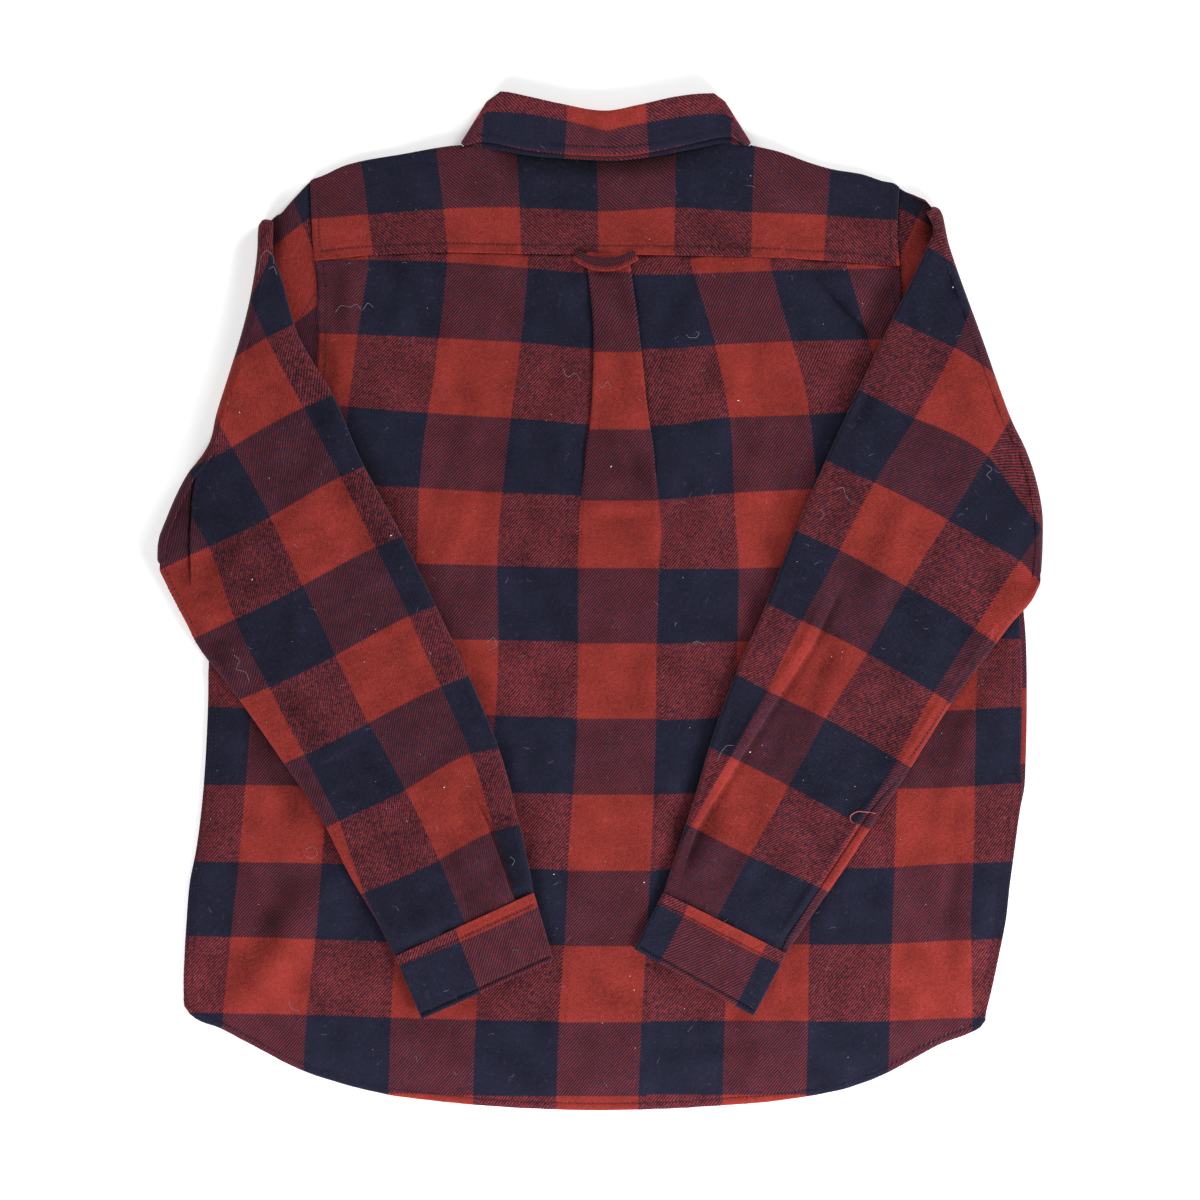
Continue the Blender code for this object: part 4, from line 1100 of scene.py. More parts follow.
TUBE_HALF = 2.9
HEAD_HALF = 1.0         # where it is seamed to the body
END_HALF = 0.9          # where it enters the cuff
SLEEVE_FLOOR = TUBE_HALF + CLOTH / 2    # its middle's height, and its edges' radius
SEAM_GAP = 0.4          # between the sleeve's head and the body's armhole
LINE_STEP = 3.4         # most that lines across the sleeve lie apart
FOLD_R = 4.4
CUFF_Z = 11.6
REST_GAP = 0.5
LEFT_FOLD = [(-271.5, 308.5), (-275.3, 302.5), (-276.6, 290), (-279.5, 266), (-284.3, 240),
             (-290.8, 214.2), (-302.9, 175.4), (-311, 149.4), (-315.2, 130), (-322.4, 117),
             (-332.9, 104), (-343.4, 84.6), (-351.5, 65.2), (-357.4, 49.5), (-358.4, 30)]
RIGHT_FOLD = [(271.4, 316.4), (275.0, 310), (278.8, 299), (289.2, 267.7), (311, 207.8),
              (320, 181.8), (334.5, 143), (344.3, 123.5), (353.3, 97), (358.3, 70),
              (358.4, 46), (357, 20)]
# The sleeve head's upper edge: share of the way out, how far it stands out
LEFT_HEAD_EDGE = [(0, 0), (0.1, 0.4), (0.24, 0.5), (0.38, 0.4), (0.59, 0.3), (0.76, 0.1),
                  (0.88, 2.4), (1, 3.2)]
RIGHT_HEAD_EDGE = [(0, 0), (0.1, 0.5), (0.25, 1.6), (0.36, 2.8), (0.58, 4.8), (0.8, 7.0),
                   (1, 6.6)]
HEAD_PUFF = 1.0
HEAD_SHADE = {-1: 0.3, 1: 1.0}    # painted shade in the sleeve head's fold
SLEEVE_SHADE = {-1: 0.26, 1: 0.18}    # painted shade over the sleeve from the fold on
# How much of the turn's height is left past the fold: line number, share
FOLD_SETTLES = [(-1, 1.0), (0, 0.556), (1, 0.194), (2, 0), (12, 0)]
# Lines across the sleeve past the fold: inner x, y, outer x, y, height over the
# back, share of the cuff's height
LEFT_RINGS = [(-264.5, 284, -355.8, 25.0, 4.1, 0), (-256, 255.6, -350.6, 13, 3.6, 0),
              (-245.5, 218, -347.5, 6.5, 3, 0), (-231, 191, -344.3, 0.2, 2.4, 0),
              (-213.8, 162.4, -341, -6.5, 1.8, 0), (-192.8, 113, -335, -18, 1.4, 0),
              (-161.2, 54, -322, -42, 0.9, 0), (-134.4, -1, -292.5, -79.5, 0.4, 0),
              (-106, -61, -256, -131.6, 0.2, 0), (-81, -122, -226, -176, 0.2, 0.1),
              (-66.5, -175, -202, -223, 0.2, 0.4), (-58, -212, -181, -258, 0.2, 0.8),
              (-53.2, -237.4, -165.8, -288.2, 0.2, 1)]
RIGHT_RINGS = [(269.5, 300, 355.8, 14.5, 4.1, 0), (262, 281, 353.6, 8.5, 3.6, 0),
               (248, 250.7, 350.4, 1.6, 3, 0), (226, 207, 345.3, -5.5, 2.2, 0),
               (204.9, 162.4, 339, -12, 1.7, 0), (182.3, 113, 331, -21, 1.2, 0),
               (157.9, 57, 316, -41, 0.8, 0), (134.4, -3, 283.5, -84.6, 0.4, 0),
               (110.5, -57, 249.5, -138.5, 0.2, 0), (91, -110, 216, -188.5, 0.2, 0.1),
               (77, -157, 197, -218, 0.2, 0.4), (63, -200, 170.5, -256, 0.2, 0.8),
               (51.2, -236.6, 150.4, -285.7, 0.2, 1)]
# Where the check's lines cross: stripe, band, x, y
LEFT_CHECK = [(1, -2, -283.5, 246), (1, -1, -269.5, 212.5), (1, 0, -240, 156),
              (1, 1, -210, 100), (1, 2, -181.5, 43.5), (1, 3, -154.5, -12.5),
              (1, 4, -129, -69.5), (1, 5, -105, -123.5), (1, 6, -86.0, -186),
              (1, 7, -67.0, -244.5), (0, 0, -297.5, 124), (0, 1, -267, 67.5),
              (0, 2, -240.5, 12), (0, 3, -214, -44.5), (0, 4, -187.5, -99),
              (0, 5, -157.5, -153), (0, 6, -130, -209.5), (0, 7, -107, -266.5),
              (-1, 1, -316.5, 43.5), (-1, 2, -295, -15), (-1, 3, -267.5, -70),
              (-1, 4, -239, -124.5), (-1, 5, -211, -178), (-1, 6, -191, -236),
              (-1.1, 7, -173, -294), (1.36, -2, -265.5, 280.5), (1.4, -1, -245.5, 225),
              (1.34, 0, -218, 166), (1.31, 1, -191, 108.5), (1.33, 2, -161, 52),
              (1.34, 3, -134, -4), (1.34, 4, -108.5, -61.5), (-0.02, -1, -327, 181),
              (-1.47, 2, -325, -29), (-1.35, 3, -291, -80), (-1.25, 4, -255, -131.5),
              (-1.13, 5, -221, -183.5), (1.33, 5, -83.4, -119.5), (1.34, 6, -66.4, -181),
              (1.35, 7, -51, -240.5)]
RIGHT_CHECK = [(0, -2, 286, 204.5), (0, -1, 254.5, 147.5), (0, 0, 221.5, 95.5),
               (0, 1, 193.5, 41), (0, 2, 163, -16), (0, 3, 135, -72.5), (0, 4, 105.5, -126),
               (0, 5, 73, -182), (1, -1, 313, 117), (1, 0, 281, 65), (1, 1, 247, 12),
               (1, 2, 216, -42.5), (1, 3, 182, -95), (1, 4, 152.5, -149.5),
               (1, 5, 120.5, -206), (1, 6, 93.5, -257), (2, -1, 357, 59), (2, 0, 339, 32.5),
               (2, 1, 302.5, -22.5), (2, 2, 269.5, -74), (2, 3, 240, -128),
               (2, 4, 208.5, -180), (2, 5, 177, -231.5), (2, 6, 146.5, -283),
               (-0.8, -2, 238, 227), (-0.71, -1, 212, 169.5), (-0.65, 0, 182, 114),
               (-0.62, 1, 159, 56.5), (-0.47, 2, 137, -3), (-0.42, 3, 112.5, -60.5),
               (-0.3, 4, 89, -118.5), (0.6, -2, 320, 182), (-0.7, -3, 264, 286.5),
               (0, -3, 307, 257)]
# Lines along the sleeve that keep a place of their own on it
CUFF_PLEAT = [(-112, -128), (-108.5, -137.3), (-86.7, -188.3), (-68, -241)]
ELBOW_FOLD = [(-322.4, 109.8), (-327.2, 97.6), (-331.3, 60.3), (-332.1, -7.7)]
PRESSED_CREASE = [(171, -33), (125, -104), (74.5, -183.5)]
FELLED_SEAM = [(321.6, -31.2), (292.4, -78.2), (254.3, -134.1), (228.4, -161.6),
               (213.8, -181.8), (178.2, -235.3), (150.7, -275.8)]
LEFT_CREASES = [(-300, 150, -340, 95, 8, 1.2), (-243, 188, -206, 98, 6, -1.5),
                (-206, 98, -180, 53, 7, -1.2), (-232, 206, -224, 160, 5, -0.8),
                (-300, 60, -330, 30, 7, 0.9), (-296, 45, -280, 0, 9, -1.5),
                (-257, 0, -249, -44, 4.5, -1.3), (-246, 10, -240, -40, 5, 0.8),
                (-270, -20, -320, 8, 8, -0.8), (-255, -72, -233, -115, 8, -1.3),
                (-202, -109, -172, -155, 6, -1.2), (-188, -104, -160, -150, 6, 0.8),
                (-162, -158, -138, -198, 6, -1.1), (-180, -40, -200, -120, 12, 0.8),
                (-120, -150, -110, -210, 6, 0.9), (-160, -225, -148, -262, 6, -1.3),
                (-146, -222, -134, -262, 5, 0.9), (-118, -205, -104, -250, 6, -1.1),
                (-98, -200, -88, -240, 5, 0.9), (-215, 90, -240, 10, 14, 0.8),
                (-150, 30, -128, -30, 7, 0.8), (-330, -20, -300, -60, 6, -0.7),
                (-325, 100, -300, 20, 18, -1.8)]
RIGHT_CREASES = [(300, 180, 340, 95, 9, 1.0), (247, 252, 254, 219, 4.5, -1.2),
                 (256, 250, 266, 214, 6, 0.8), (220, 166, 193, 130, 6, -1.3),
                 (230, 120, 300, 20, 13, 0.9), (310, 40, 345, 20, 8, 0.8),
                 (237, 78, 202, -8, 7, -1.4), (252, 74, 222, -10, 8, 0.9),
                 (190, -30, 158, -115, 7, -1.5), (206, -30, 176, -120, 8, 0.8),
                 (200, 60, 166, -20, 12, 0.7), (250, -90, 190, -190, 12, -0.8),
                 (120, -190, 96, -236, 6, -1.2), (134, -196, 108, -246, 5, 0.9),
                 (90, -180, 62, -214, 9, -2.0), (150, -105, 128, -150, 7, -1.4),
                 (195, 8, 180, -30, 7, -1.4), (170, -200, 132, -262, 8, 0.8),
                 (270, 130, 244, 92, 8, 0.8), (150, 20, 120, -40, 7, -0.7)]
ARC_STEPS = 6
# Painted highlight along the folded edges of sleeves and cuffs
EDGE_CREST = 0.2


def spline_map(corners):
    """The smooth map from the plan to stripes and bands through the given corners."""
    table = np.array(corners, dtype=float)
    known, place = table[:, :2], table[:, 2:] / 100
    count = len(table)

    def bend(at):
        apart = ((at[:, None] - place[None]) ** 2).sum(-1)
        return 0.5 * apart * np.log(apart + 1e-12)

    edge = np.column_stack([np.ones(count), place])
    system = np.zeros((count + 3, count + 3))
    system[:count, :count] = bend(place) + 0.002 * np.eye(count)
    system[:count, count:] = edge
    system[count:, :count] = edge.T
    weights = np.linalg.solve(system, np.concatenate([known, np.zeros((3, 2))]))

    def read(points):
        at = points.reshape(-1, 2) / 100
        terms = np.column_stack([bend(at), np.ones(len(at)), at])
        return (terms @ weights).reshape(points.shape)

    return read


def slant_map(corner, across, along, stripe, band):
    """A straight map: where its corner is, its two directions, and the corner's numbers."""
    frame_axes = np.column_stack([np.array(across) * CHECK_W, np.array(along) * CHECK_H])
    turn = np.linalg.inv(frame_axes)

    def read(points):
        return (points - np.array(corner)) @ turn.T + np.array([stripe, band])

    return read


def share_on_line(guide, line):
    """Share of the way along a line where a guide crosses it, or nan."""
    a, b = line[:-1, None], line[1:, None]
    c, d = guide[None, :-1], guide[None, 1:]
    span, step, gap = b - a, d - c, c - a
    size = span[..., 0] * step[..., 1] - span[..., 1] * step[..., 0]
    size = np.where(np.abs(size) < 1e-9, 1e-9, size)
    t = (gap[..., 0] * step[..., 1] - gap[..., 1] * step[..., 0]) / size
    u = (gap[..., 0] * span[..., 1] - gap[..., 1] * span[..., 0]) / size
    hit = np.argwhere((t >= 0) & (t < 1) & (u >= 0) & (u < 1))
    if len(hit) == 0:
        return np.nan
    k, m = hit[0]
    return (k + t[k, m]) / (len(line) - 1)


def cloth_tube(name, middles, normals, half, wall, swell, cloth, crest, finish):
    """A flattened tube of cloth through rings of middle points, its layers half each side.

    swell moves the layer away from the normals outwards. Each loop runs along the layer on
    the normals' side, round the far end, back along the other layer and round the near end.
    """
    rings = len(middles)
    half = np.zeros((rings, 1)) + np.reshape(half, (-1, 1))
    ends = np.gradient(middles, axis=1)
    bends = np.radians(np.linspace(90, -90, ARC_STEPS + 2)[1:-1])
    skins = []
    for extra in (wall / 2, -wall / 2):
        over = middles + normals * (half[..., None] + extra)
        under = middles - normals * (half[..., None] + extra + swell[..., None])
        radius = half + extra
        caps = []
        for column, sign in ((-1, 1), (0, -1)):
            out = unit(ends[:, column]) * sign
            turn = bends if sign > 0 else bends[::-1]
            cap = [middles[:, column] + out * radius * math.cos(t)
                   + normals[:, column] * radius * math.sin(t) for t in turn]
            caps.append(np.stack(cap, axis=1))
        skins.append(np.concatenate([over, caps[0], under[:, ::-1], caps[1]], axis=1))
    count = skins[0].shape[1]
    points = np.concatenate([skins[0].reshape(-1, 3), skins[1].reshape(-1, 3)])
    coords = np.tile(cloth.reshape(-1, 2), (2, 1))
    edge = np.full((rings, ARC_STEPS), EDGE_CREST)
    crest = np.concatenate([crest, edge, crest[:, ::-1], edge], axis=1)
    crest = np.tile(crest.ravel(), 2)
    index = np.arange(rings * count).reshape(rings, count)
    after = np.roll(index, -1, axis=1)
    quads = np.stack([index[:-1], index[1:], after[1:], after[:-1]], -1).reshape(-1, 4)
    inside = rings * count
    faces = [quads, quads[:, ::-1] + inside]
    for ring, flip in ((0, 1), (-1, -1)):
        outer = np.stack([index[ring], after[ring]], -1)
        faces.append(np.concatenate([outer, outer[:, ::-1] + inside], axis=1)[:, ::flip])
    faces = np.concatenate(faces)
    corner = points[faces]
    size = np.einsum("ij,ij->i", corner[:, 0], np.cross(corner[:, 1], corner[:, 2])).sum()
    size += np.einsum("ij,ij->i", corner[:, 0], np.cross(corner[:, 2], corner[:, 3])).sum()
    faces = faces if size > 0 else faces[:, ::-1]
    return shell_piece(name, points, faces, coords, crest, finish)


def sleeve_numbers(rows):
    """Ring numbers past the fold, spaced about evenly along the sleeve's longer edge."""
    table = np.array([rows[0], *rows])
    numbers = [-1.0]
    for k in range(len(rows)):
        inner = np.hypot(*(table[k + 1, :2] - table[k, :2])) if k else 20.0
        outer = np.hypot(*(table[k + 1, 2:4] - table[k, 2:4])) if k else 12.0
        count = math.ceil(max(inner, outer) / LINE_STEP)
        numbers += list(k - 1 + np.arange(1, count + 1) / count)
    return np.array(numbers)


def wrapped_places(unrolled, bend):
    """Places of a tube's hidden layer and of its far and near ends, rolled out flat."""
    arcs = np.linspace(0, 1, ARC_STEPS + 2)[1:-1] * math.pi * bend
    inner_way = unit(unrolled[:, 0] - unrolled[:, 3])[:, None]
    outer_way = unit(unrolled[:, -1] - unrolled[:, -4])[:, None]
    from_inner = np.linalg.norm(unrolled - unrolled[:, :1], axis=-1)[..., None]
    hidden = unrolled[:, :1] + inner_way * (math.pi * bend + from_inner)
    far_end = unrolled[:, -1:] + outer_way * arcs[::-1][None, :, None]
    near_end = unrolled[:, :1] + inner_way * arcs[None, :, None]
    return hidden, far_end, near_end


def fold_line(side, fold):
    """The middle of the turn along the fold, and the way out from it."""
    crease = path(fold, np.linspace(0, 1, 41))
    chord = crease[-1] - crease[0]
    outward = np.array([-chord[1], chord[0]]) / np.linalg.norm(chord)
    outward = outward if outward[0] * side > 0 else -outward
    return crease - outward * (FOLD_R + SLEEVE_FLOOR), outward


def seam_line(side, armhole):
    """The line where the sleeve starts, just outside the armhole."""
    seam = path([(x, y) for y, x in armhole], np.linspace(0, 1, 41))
    along = np.gradient(seam, axis=0)
    away = np.column_stack([along[:, 1], -along[:, 0]]) / np.linalg.norm(along, axis=1)[:, None]
    return seam - side * away * SEAM_GAP


def trimmed(line, at, inset):
    """Points of a line at shares of it, once both its ends are drawn in."""
    length = np.hypot(*np.diff(line, axis=0).T).sum()
    at = inset / length + at * (1 - 2 * inset / length)
    even = np.linspace(0, 1, len(line))
    return np.column_stack([np.interp(at, even, line[:, 0]), np.interp(at, even, line[:, 1])])


def line_shares(numbers, lines, guides, counts):
    """Shares across each line, closest together beside its ends and the guides.

    Gives where its ends and guides are, the shares, and which part each share is in.
    """
    crossings = []
    for guide in guides:
        guide_line = path(guide, np.linspace(0, 1, 121))
        found = np.array([share_on_line(guide_line, line) for line in lines])
        known = ~np.isnan(found)
        crossings.append(np.interp(numbers, numbers[known], found[known]))
    stops = np.stack([np.zeros(len(numbers)), *crossings, np.ones(len(numbers))], -1)
    shares, parts = [], []
    for part, count in enumerate(counts):
        even = np.linspace(0, 1, count)
        between = even - 0.72 * np.sin(2 * math.pi * even) / (2 * math.pi)
        width = (stops[:, part + 1] - stops[:, part])[:, None]
        shares.append(stops[:, part:part + 1] + between * (width - 0.0004) + 0.0002)
        parts.append(np.full(count, part))
    return stops, np.concatenate(shares, axis=1), np.concatenate(parts)


def sleeve_check(side, check, head, unrolled, plan, before_fold, parts, number):
    """Stripe and band round the sleeve.

    They follow the layer that the fold turns under, the far end, the layer that it turns
    up and the near end.
    """
    hidden, far_end, near_end = wrapped_places(unrolled, SLEEVE_FLOOR)
    read = spline_map(check)
    rear = np.where(before_fold[..., None], head(plan), read(hidden))
    shown, far, near = read(unrolled), read(far_end), read(near_end)
    if side < 0:
        past_elbow = 0.3 * fade(2.5, 4.5, number)
        shown[..., 0] -= (parts == 2) * past_elbow
        far[..., 0] -= past_elbow
    else:
        for numbers in (shown, far, near):
            numbers[..., 1] += 1
    return np.concatenate([rear, far, shown[:, ::-1], near], axis=1)


def make_sleeve(side, name, node, armhole, fold, head_edge, rows, features, counts, check, head,
                creases):
    numbers = sleeve_numbers(rows)
    fine = np.linspace(0, 1, 41)
    centre_path, outward = fold_line(side, fold)
    first = (-1, *centre_path[0], *centre_path[-1], rows[0][4], 0)
    ends = all_columns([first] + [(k, *row) for k, row in enumerate(rows)], numbers)
    bow = centre_path - (centre_path[0] + fine[:, None] * (centre_path[-1] - centre_path[0]))
    lines = [end[:2] + fine[:, None] * (end[2:4] - end[:2]) + bow * float(fade(0, 3, number + 1))
             for number, end in zip(numbers, ends)]
    guides, profiles = zip(*features)
    stops, share, parts = line_shares(numbers, lines, guides, counts)
    lead = share[0]

    middles, normals, unrolled, stage, half = [], [], [], [], []
    up = np.tile([0.0, 0.0, 1.0], (len(lead), 1))
    flat_out = np.tile([outward[0], outward[1], 0.0], (len(lead), 1))
    start = trimmed(seam_line(side, armhole), lead, HEAD_HALF + CLOTH / 2)
    centre = trimmed(centre_path, lead, SLEEVE_FLOOR)
    reach = np.linalg.norm(centre - start, axis=1)[:, None]
    wrap = math.pi * (FOLD_R + TUBE_HALF)
    edge_way = unit(centre[0] - start[0])
    near_edge = fade(0, 0.1, lead)[:, None] * np.array([-edge_way[1], edge_way[0]]) * side
    for t in np.concatenate([[0, 0.02, 0.06], np.linspace(0.12, 0.94, 13)]):
        plan = start + (centre - start) * t + near_edge * float(curve(head_edge, t))
        puff = HEAD_PUFF * hump(t - 0.6, 0.2) * fade(0, 0.3, lead)
        half.append(HEAD_HALF + (TUBE_HALF - HEAD_HALF) * (1 - float(fade(0, 0.8, t))))
        middles.append(np.column_stack([plan, half[-1] + CLOTH / 2 + puff]))
        normals.append(up)
        unrolled.append(centre + outward * (wrap + reach * (1 - t)))
        stage.append(0)
    for turn in np.radians(np.linspace(0, 180, 15)):
        plan = centre + outward * FOLD_R * math.sin(turn)
        plan = plan + near_edge * head_edge[-1][1] * (1 + math.cos(turn)) / 2
        height = SLEEVE_FLOOR + FOLD_R * (1 - math.cos(turn))
        half.append(TUBE_HALF)
        middles.append(np.column_stack([plan, np.full(len(plan), height)]))
        normals.append(up * math.cos(turn) - flat_out * math.sin(turn))
        unrolled.append(centre + outward * (FOLD_R + TUBE_HALF) * (math.pi - turn))
        stage.append(1)
    fold_top = SLEEVE_FLOOR + 2 * FOLD_R
    for number, end, line, at in list(zip(numbers, ends, lines, share))[1:]:
        half.append(END_HALF + (TUBE_HALF - END_HALF) * float(fade(11.6, 11.95, number)))
        plan = trimmed(line, at, half[-1] + CLOTH / 2)
        resting = back_middle(*plan.T) + CLOTH / 2 + REST_GAP + SLEEVE_FLOOR + end[4]
        height = (1 - end[5]) * resting + end[5] * CUFF_Z
        lift = float(curve(FOLD_SETTLES, number))
        middles.append(np.column_stack([plan, height + (fold_top - height) * lift]))
        normals.append(-up)
        unrolled.append(plan)
        stage.append(2)
    middles, normals, unrolled = np.array(middles), np.array(normals), np.array(unrolled)
    stage = np.array(stage)[:, None]

    x, y = unrolled[..., 0], unrolled[..., 1]
    from_end = np.minimum(np.linalg.norm(middles - middles[:, :1], axis=-1),
                          np.linalg.norm(middles - middles[:, -1:], axis=-1))
    ring = np.maximum(np.arange(len(stage)) - len(stage) + len(numbers), 0)
    number = numbers[ring][:, None]
    soft = 0.6 * ripple(x, y, 46, 31 + side) + 0.3 * ripple(x, y, 17, 41 + side)
    soft = soft + crease_height(x, y, creases)
    width = np.linalg.norm(middles[:, -1] - middles[:, 0], axis=-1)[:, None]
    for k, profile in enumerate(profiles):
        soft = soft + profile((share[ring] - stops[ring, k + 1:k + 2]) * width, number)
    soft = soft * (stage == 2) * (1 - hump(from_end, 3.5))
    at_cuff = hump(12 - number, 0.13)
    soft = soft * (1 - 0.8 * at_cuff)
    cloth = sleeve_check(side, check, head, unrolled, middles[..., :2], stage < 2, parts, number)

    from_edge = np.minimum(np.linalg.norm(unrolled - unrolled[:, :1], axis=-1),
                           np.linalg.norm(unrolled - unrolled[:, -1:], axis=-1))
    # Painted shading: troughs darker and crests lighter, edges lighter, darker just above the cuff
    crest = 0.6 * soft + EDGE_CREST * hump(from_edge, 2) - 1.5 * at_cuff
    crest = crest - SLEEVE_SHADE[side]
    # Painted shade in the sleeve head: its fold, the hollow by the fold and along the armhole seam
    out_to_fold = np.linalg.norm(middles[..., :2] - start, axis=-1) / reach[:, 0]
    depth = 0.3 + 0.15 * fade(0, 0.2, lead)
    pocket = hump(1 - out_to_fold, depth) * fade(0.1, 0.4, lead)
    at_seam = hump(out_to_fold * reach[:, 0], 2.2)
    crest = np.where(stage == 0, -HEAD_SHADE[side] - 1.9 * pocket - 1.6 * at_seam, crest)
    middles[..., 2] += soft / 2
    piece = cloth_tube(name, middles, normals, half, CLOTH, soft / 2, cloth, crest, sleeve_flannel)
    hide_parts(node)
    return piece


def cuff_pleat_step(away, number):
    """The cloth steps down to the inner side of the pleat."""
    inside = fade(-1.0, 0.2, away) * np.exp(np.minimum(away, 0) / 20)
    return -2.6 * (1 - fade(9.3, 10.0, number)) * inside


def elbow_step(away, number):
    """The fold over the elbow stands over the bulge beyond it."""
    beyond = (1 - fade(-0.3, 0.7, away)) * np.exp(-np.maximum(away, 0) / 16)
    return -2.6 * fade(2.2, 4.2, number) * beyond


def pressed_ridge(away, number):
    """A flat crest, with a trough along its outer side."""
    known = (1 - fade(6.0, 6.9, number)) * fade(10.8, 11.8, number)
    crest = 1.7 * (1 - fade(-11.5, -7.0, away)) * fade(-0.4, 1.2, away)
    return known * (crest - 1.1 * hump(away - 3.2, 3.4))


def seam_groove(away, number):
    """A felled seam: a flat double band between two stitched grooves, then a step down."""
    known = 1 - fade(5.0, 6.0, number)
    band = 0.9 * (1 - fade(-8.6, -7.4, away)) * fade(-0.2, 0.6, away)
    grooves = 0.7 * hump(away + 7.3, 0.9) + 0.6 * hump(away + 1.3, 0.8)
    beyond = 1.2 * hump(away - 0.6, 0.9)
    return known * (band - grooves - beyond)


LEFT_FEATURES = [(CUFF_PLEAT, cuff_pleat_step), (ELBOW_FOLD, elbow_step)]
RIGHT_FEATURES = [(PRESSED_CREASE, pressed_ridge), (FELLED_SEAM, seam_groove)]
left_head = slant_map((-241.4, 305.8), (0.768, 0.641), (0.378, -0.926), 1, 1)
right_head = slant_map((256.8, 310.2), (0.85, -0.53), (-0.393, -0.919), 0, 1)
sleeve_left = make_sleeve(-1, "left_sleeve", "sleeve_left", ARMHOLE_LEFT, LEFT_FOLD,
                          LEFT_HEAD_EDGE, LEFT_RINGS, LEFT_FEATURES, (20, 50, 24),
                          LEFT_CHECK, left_head, LEFT_CREASES)
sleeve_right = make_sleeve(1, "right_sleeve", "sleeve_right", ARMHOLE_RIGHT, RIGHT_FOLD,
                           RIGHT_HEAD_EDGE, RIGHT_RINGS, RIGHT_FEATURES, (26, 50, 18),
                           RIGHT_CHECK, right_head, RIGHT_CREASES)


def moved_over(line, offset):
    """A line moved sideways to its left."""
    line = path(line, np.linspace(0, 1, 30))
    way = unit(np.gradient(line, axis=0))
    return line + np.column_stack([-way[:, 1], way[:, 0]]) * offset


UNDERARM_ROWS = (0, 4.5)
FELLED_ROWS = (-1.3, -7.3)
UNDERARM = [(-355.6, 23), (-345, 2), (-333.7, -20.7), (-316.7, -53)]
HEAD_SEAM = [(-229.2, 251.5), (-238, 237), (-247, 222.3)]
left_stitches = sew("left_sleeve_stitches", sleeve_left,
                    [*(moved_over(UNDERARM, row) for row in UNDERARM_ROWS), HEAD_SEAM])
right_stitches = sew("right_sleeve_stitches", sleeve_right,
                     [moved_over(FELLED_SEAM, row) for row in FELLED_ROWS])

# ---------------------------------------------------------------------------
# The cuffs.
# Fused double flannel with a turned edge, stitched round, closed on the hidden
# side by a button.

CUFF_HALF = 1.3
CUFF_STITCH = (8.4, 3.9)     # from the upper edge, from the lower one
CUFF_RAISED = 1.2            # how far its upper edge reaches over the sleeve's end
LEFT_CUFF = [(-53.2, -237.0, -165.6, -288.6), (-37.5, -290.4, -144.2, -338.2)]
RIGHT_CUFF = [(50.8, -236.8, 150.5, -286.1), (27.7, -281.5, 124.2, -335.7)]
LEFT_CUFF_CHECK = [(0, 0, -113.5, -275.5), (-0.75, 0, -162, -294.5), (0.98, 0, -50.5, -247.5),
                   (0, -0.15, -116, -266.5), (0, 0.67, -97, -317), (-0.73, 0.67, -144, -337.5),
                   (0.96, 0.67, -37, -292)]
RIGHT_CUFF_CHECK = [(0, 0, 67, -255), (1, 0, 129.5, -287), (1, 0.66, 110, -326),
                    (0, 0.66, 48, -292), (-0.3, 0, 47, -245), (1.3, 0, 148, -294.5)]


def make_cuff(name, node, rows, check):
    read = spline_map(check)
    inset = CUFF_HALF + DOUBLE / 2
    across = np.linspace(0, 1, 64)
    middles, unrolled, swell, crests = [], [], [], []
    near_edge = np.array([0, 0.012, 0.028, 0.045, 0.06, 0.075, 0.09, 0.105, 0.12, 0.14])
    for share in np.concatenate([near_edge, np.linspace(0.17, 0.83, 18), 1 - near_edge[::-1]]):
        ax, ay, bx, by = np.array(rows[0]) * (1 - share) + np.array(rows[1]) * share
        a, b = np.array([ax, ay]), np.array([bx, by])
        upward = unit(np.array(rows[0][:2]) - np.array(rows[1][:2]))
        length = np.linalg.norm(b - a)
        plan = a + (inset / length + across[:, None] * (1 - 2 * inset / length)) * (b - a)
        plan = plan + upward * CUFF_RAISED * (1 - share)
        x, y = plan[:, 0], plan[:, 1]
        middles.append(np.column_stack([x, y, np.full(len(x), CUFF_Z)]))
        from_edge = np.hypot(*(a - rows[0][:2])), np.hypot(*(a - rows[1][:2]))
        groove = hump(from_edge[0] - CUFF_STITCH[0], STITCH_GROOVE)
        groove = groove + 1.5 * hump(from_edge[1] - CUFF_STITCH[1], 1.1)
        relief = 0.3 * ripple(x, y, 20, 51) + 0.15 * ripple(x, y, 8, 52)
        swell.append(relief - 0.9 * groove)
        # Painted shading: lighter all over and along both edges, most along the lower one; darker
        # in the stitch grooves and troughs
        rim = hump(from_edge[0], 2.5) * 0.5 + 1.3 * hump(from_edge[1], 2)
        crests.append(0.25 + 0.8 * relief - 1.3 * groove + rim)
        unrolled.append(plan)
    middles, unrolled = np.array(middles), np.array(unrolled)
    normals = np.tile([0.0, 0.0, -1.0], (*middles.shape[:2], 1))
    hidden, far_end, near_end = wrapped_places(unrolled, inset)
    cloth = np.concatenate([read(hidden), read(far_end), read(unrolled)[:, ::-1],
                            read(near_end)], axis=1)
    piece = cloth_tube(name, middles, normals, CUFF_HALF, DOUBLE, np.array(swell), cloth,
                       np.array(crests), body_flannel)
    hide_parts(node)
    top, foot = (np.array(row).reshape(2, 2) for row in rows)
    down = unit(foot - top)
    inner = unit(top[1] - top[0]) * np.array([[2.5], [-2.5]])
    lines = [moved_over(top + inner + down * CUFF_STITCH[0], 0),
             moved_over(foot + inner - down * CUFF_STITCH[1], 0)]
    stitches = sew(name + "_stitches", piece, lines)
    return piece


cuff_left = make_cuff("left_cuff", "cuff_left", LEFT_CUFF, LEFT_CUFF_CHECK)
cuff_right = make_cuff("right_cuff", "cuff_right", RIGHT_CUFF, RIGHT_CUFF_CHECK)

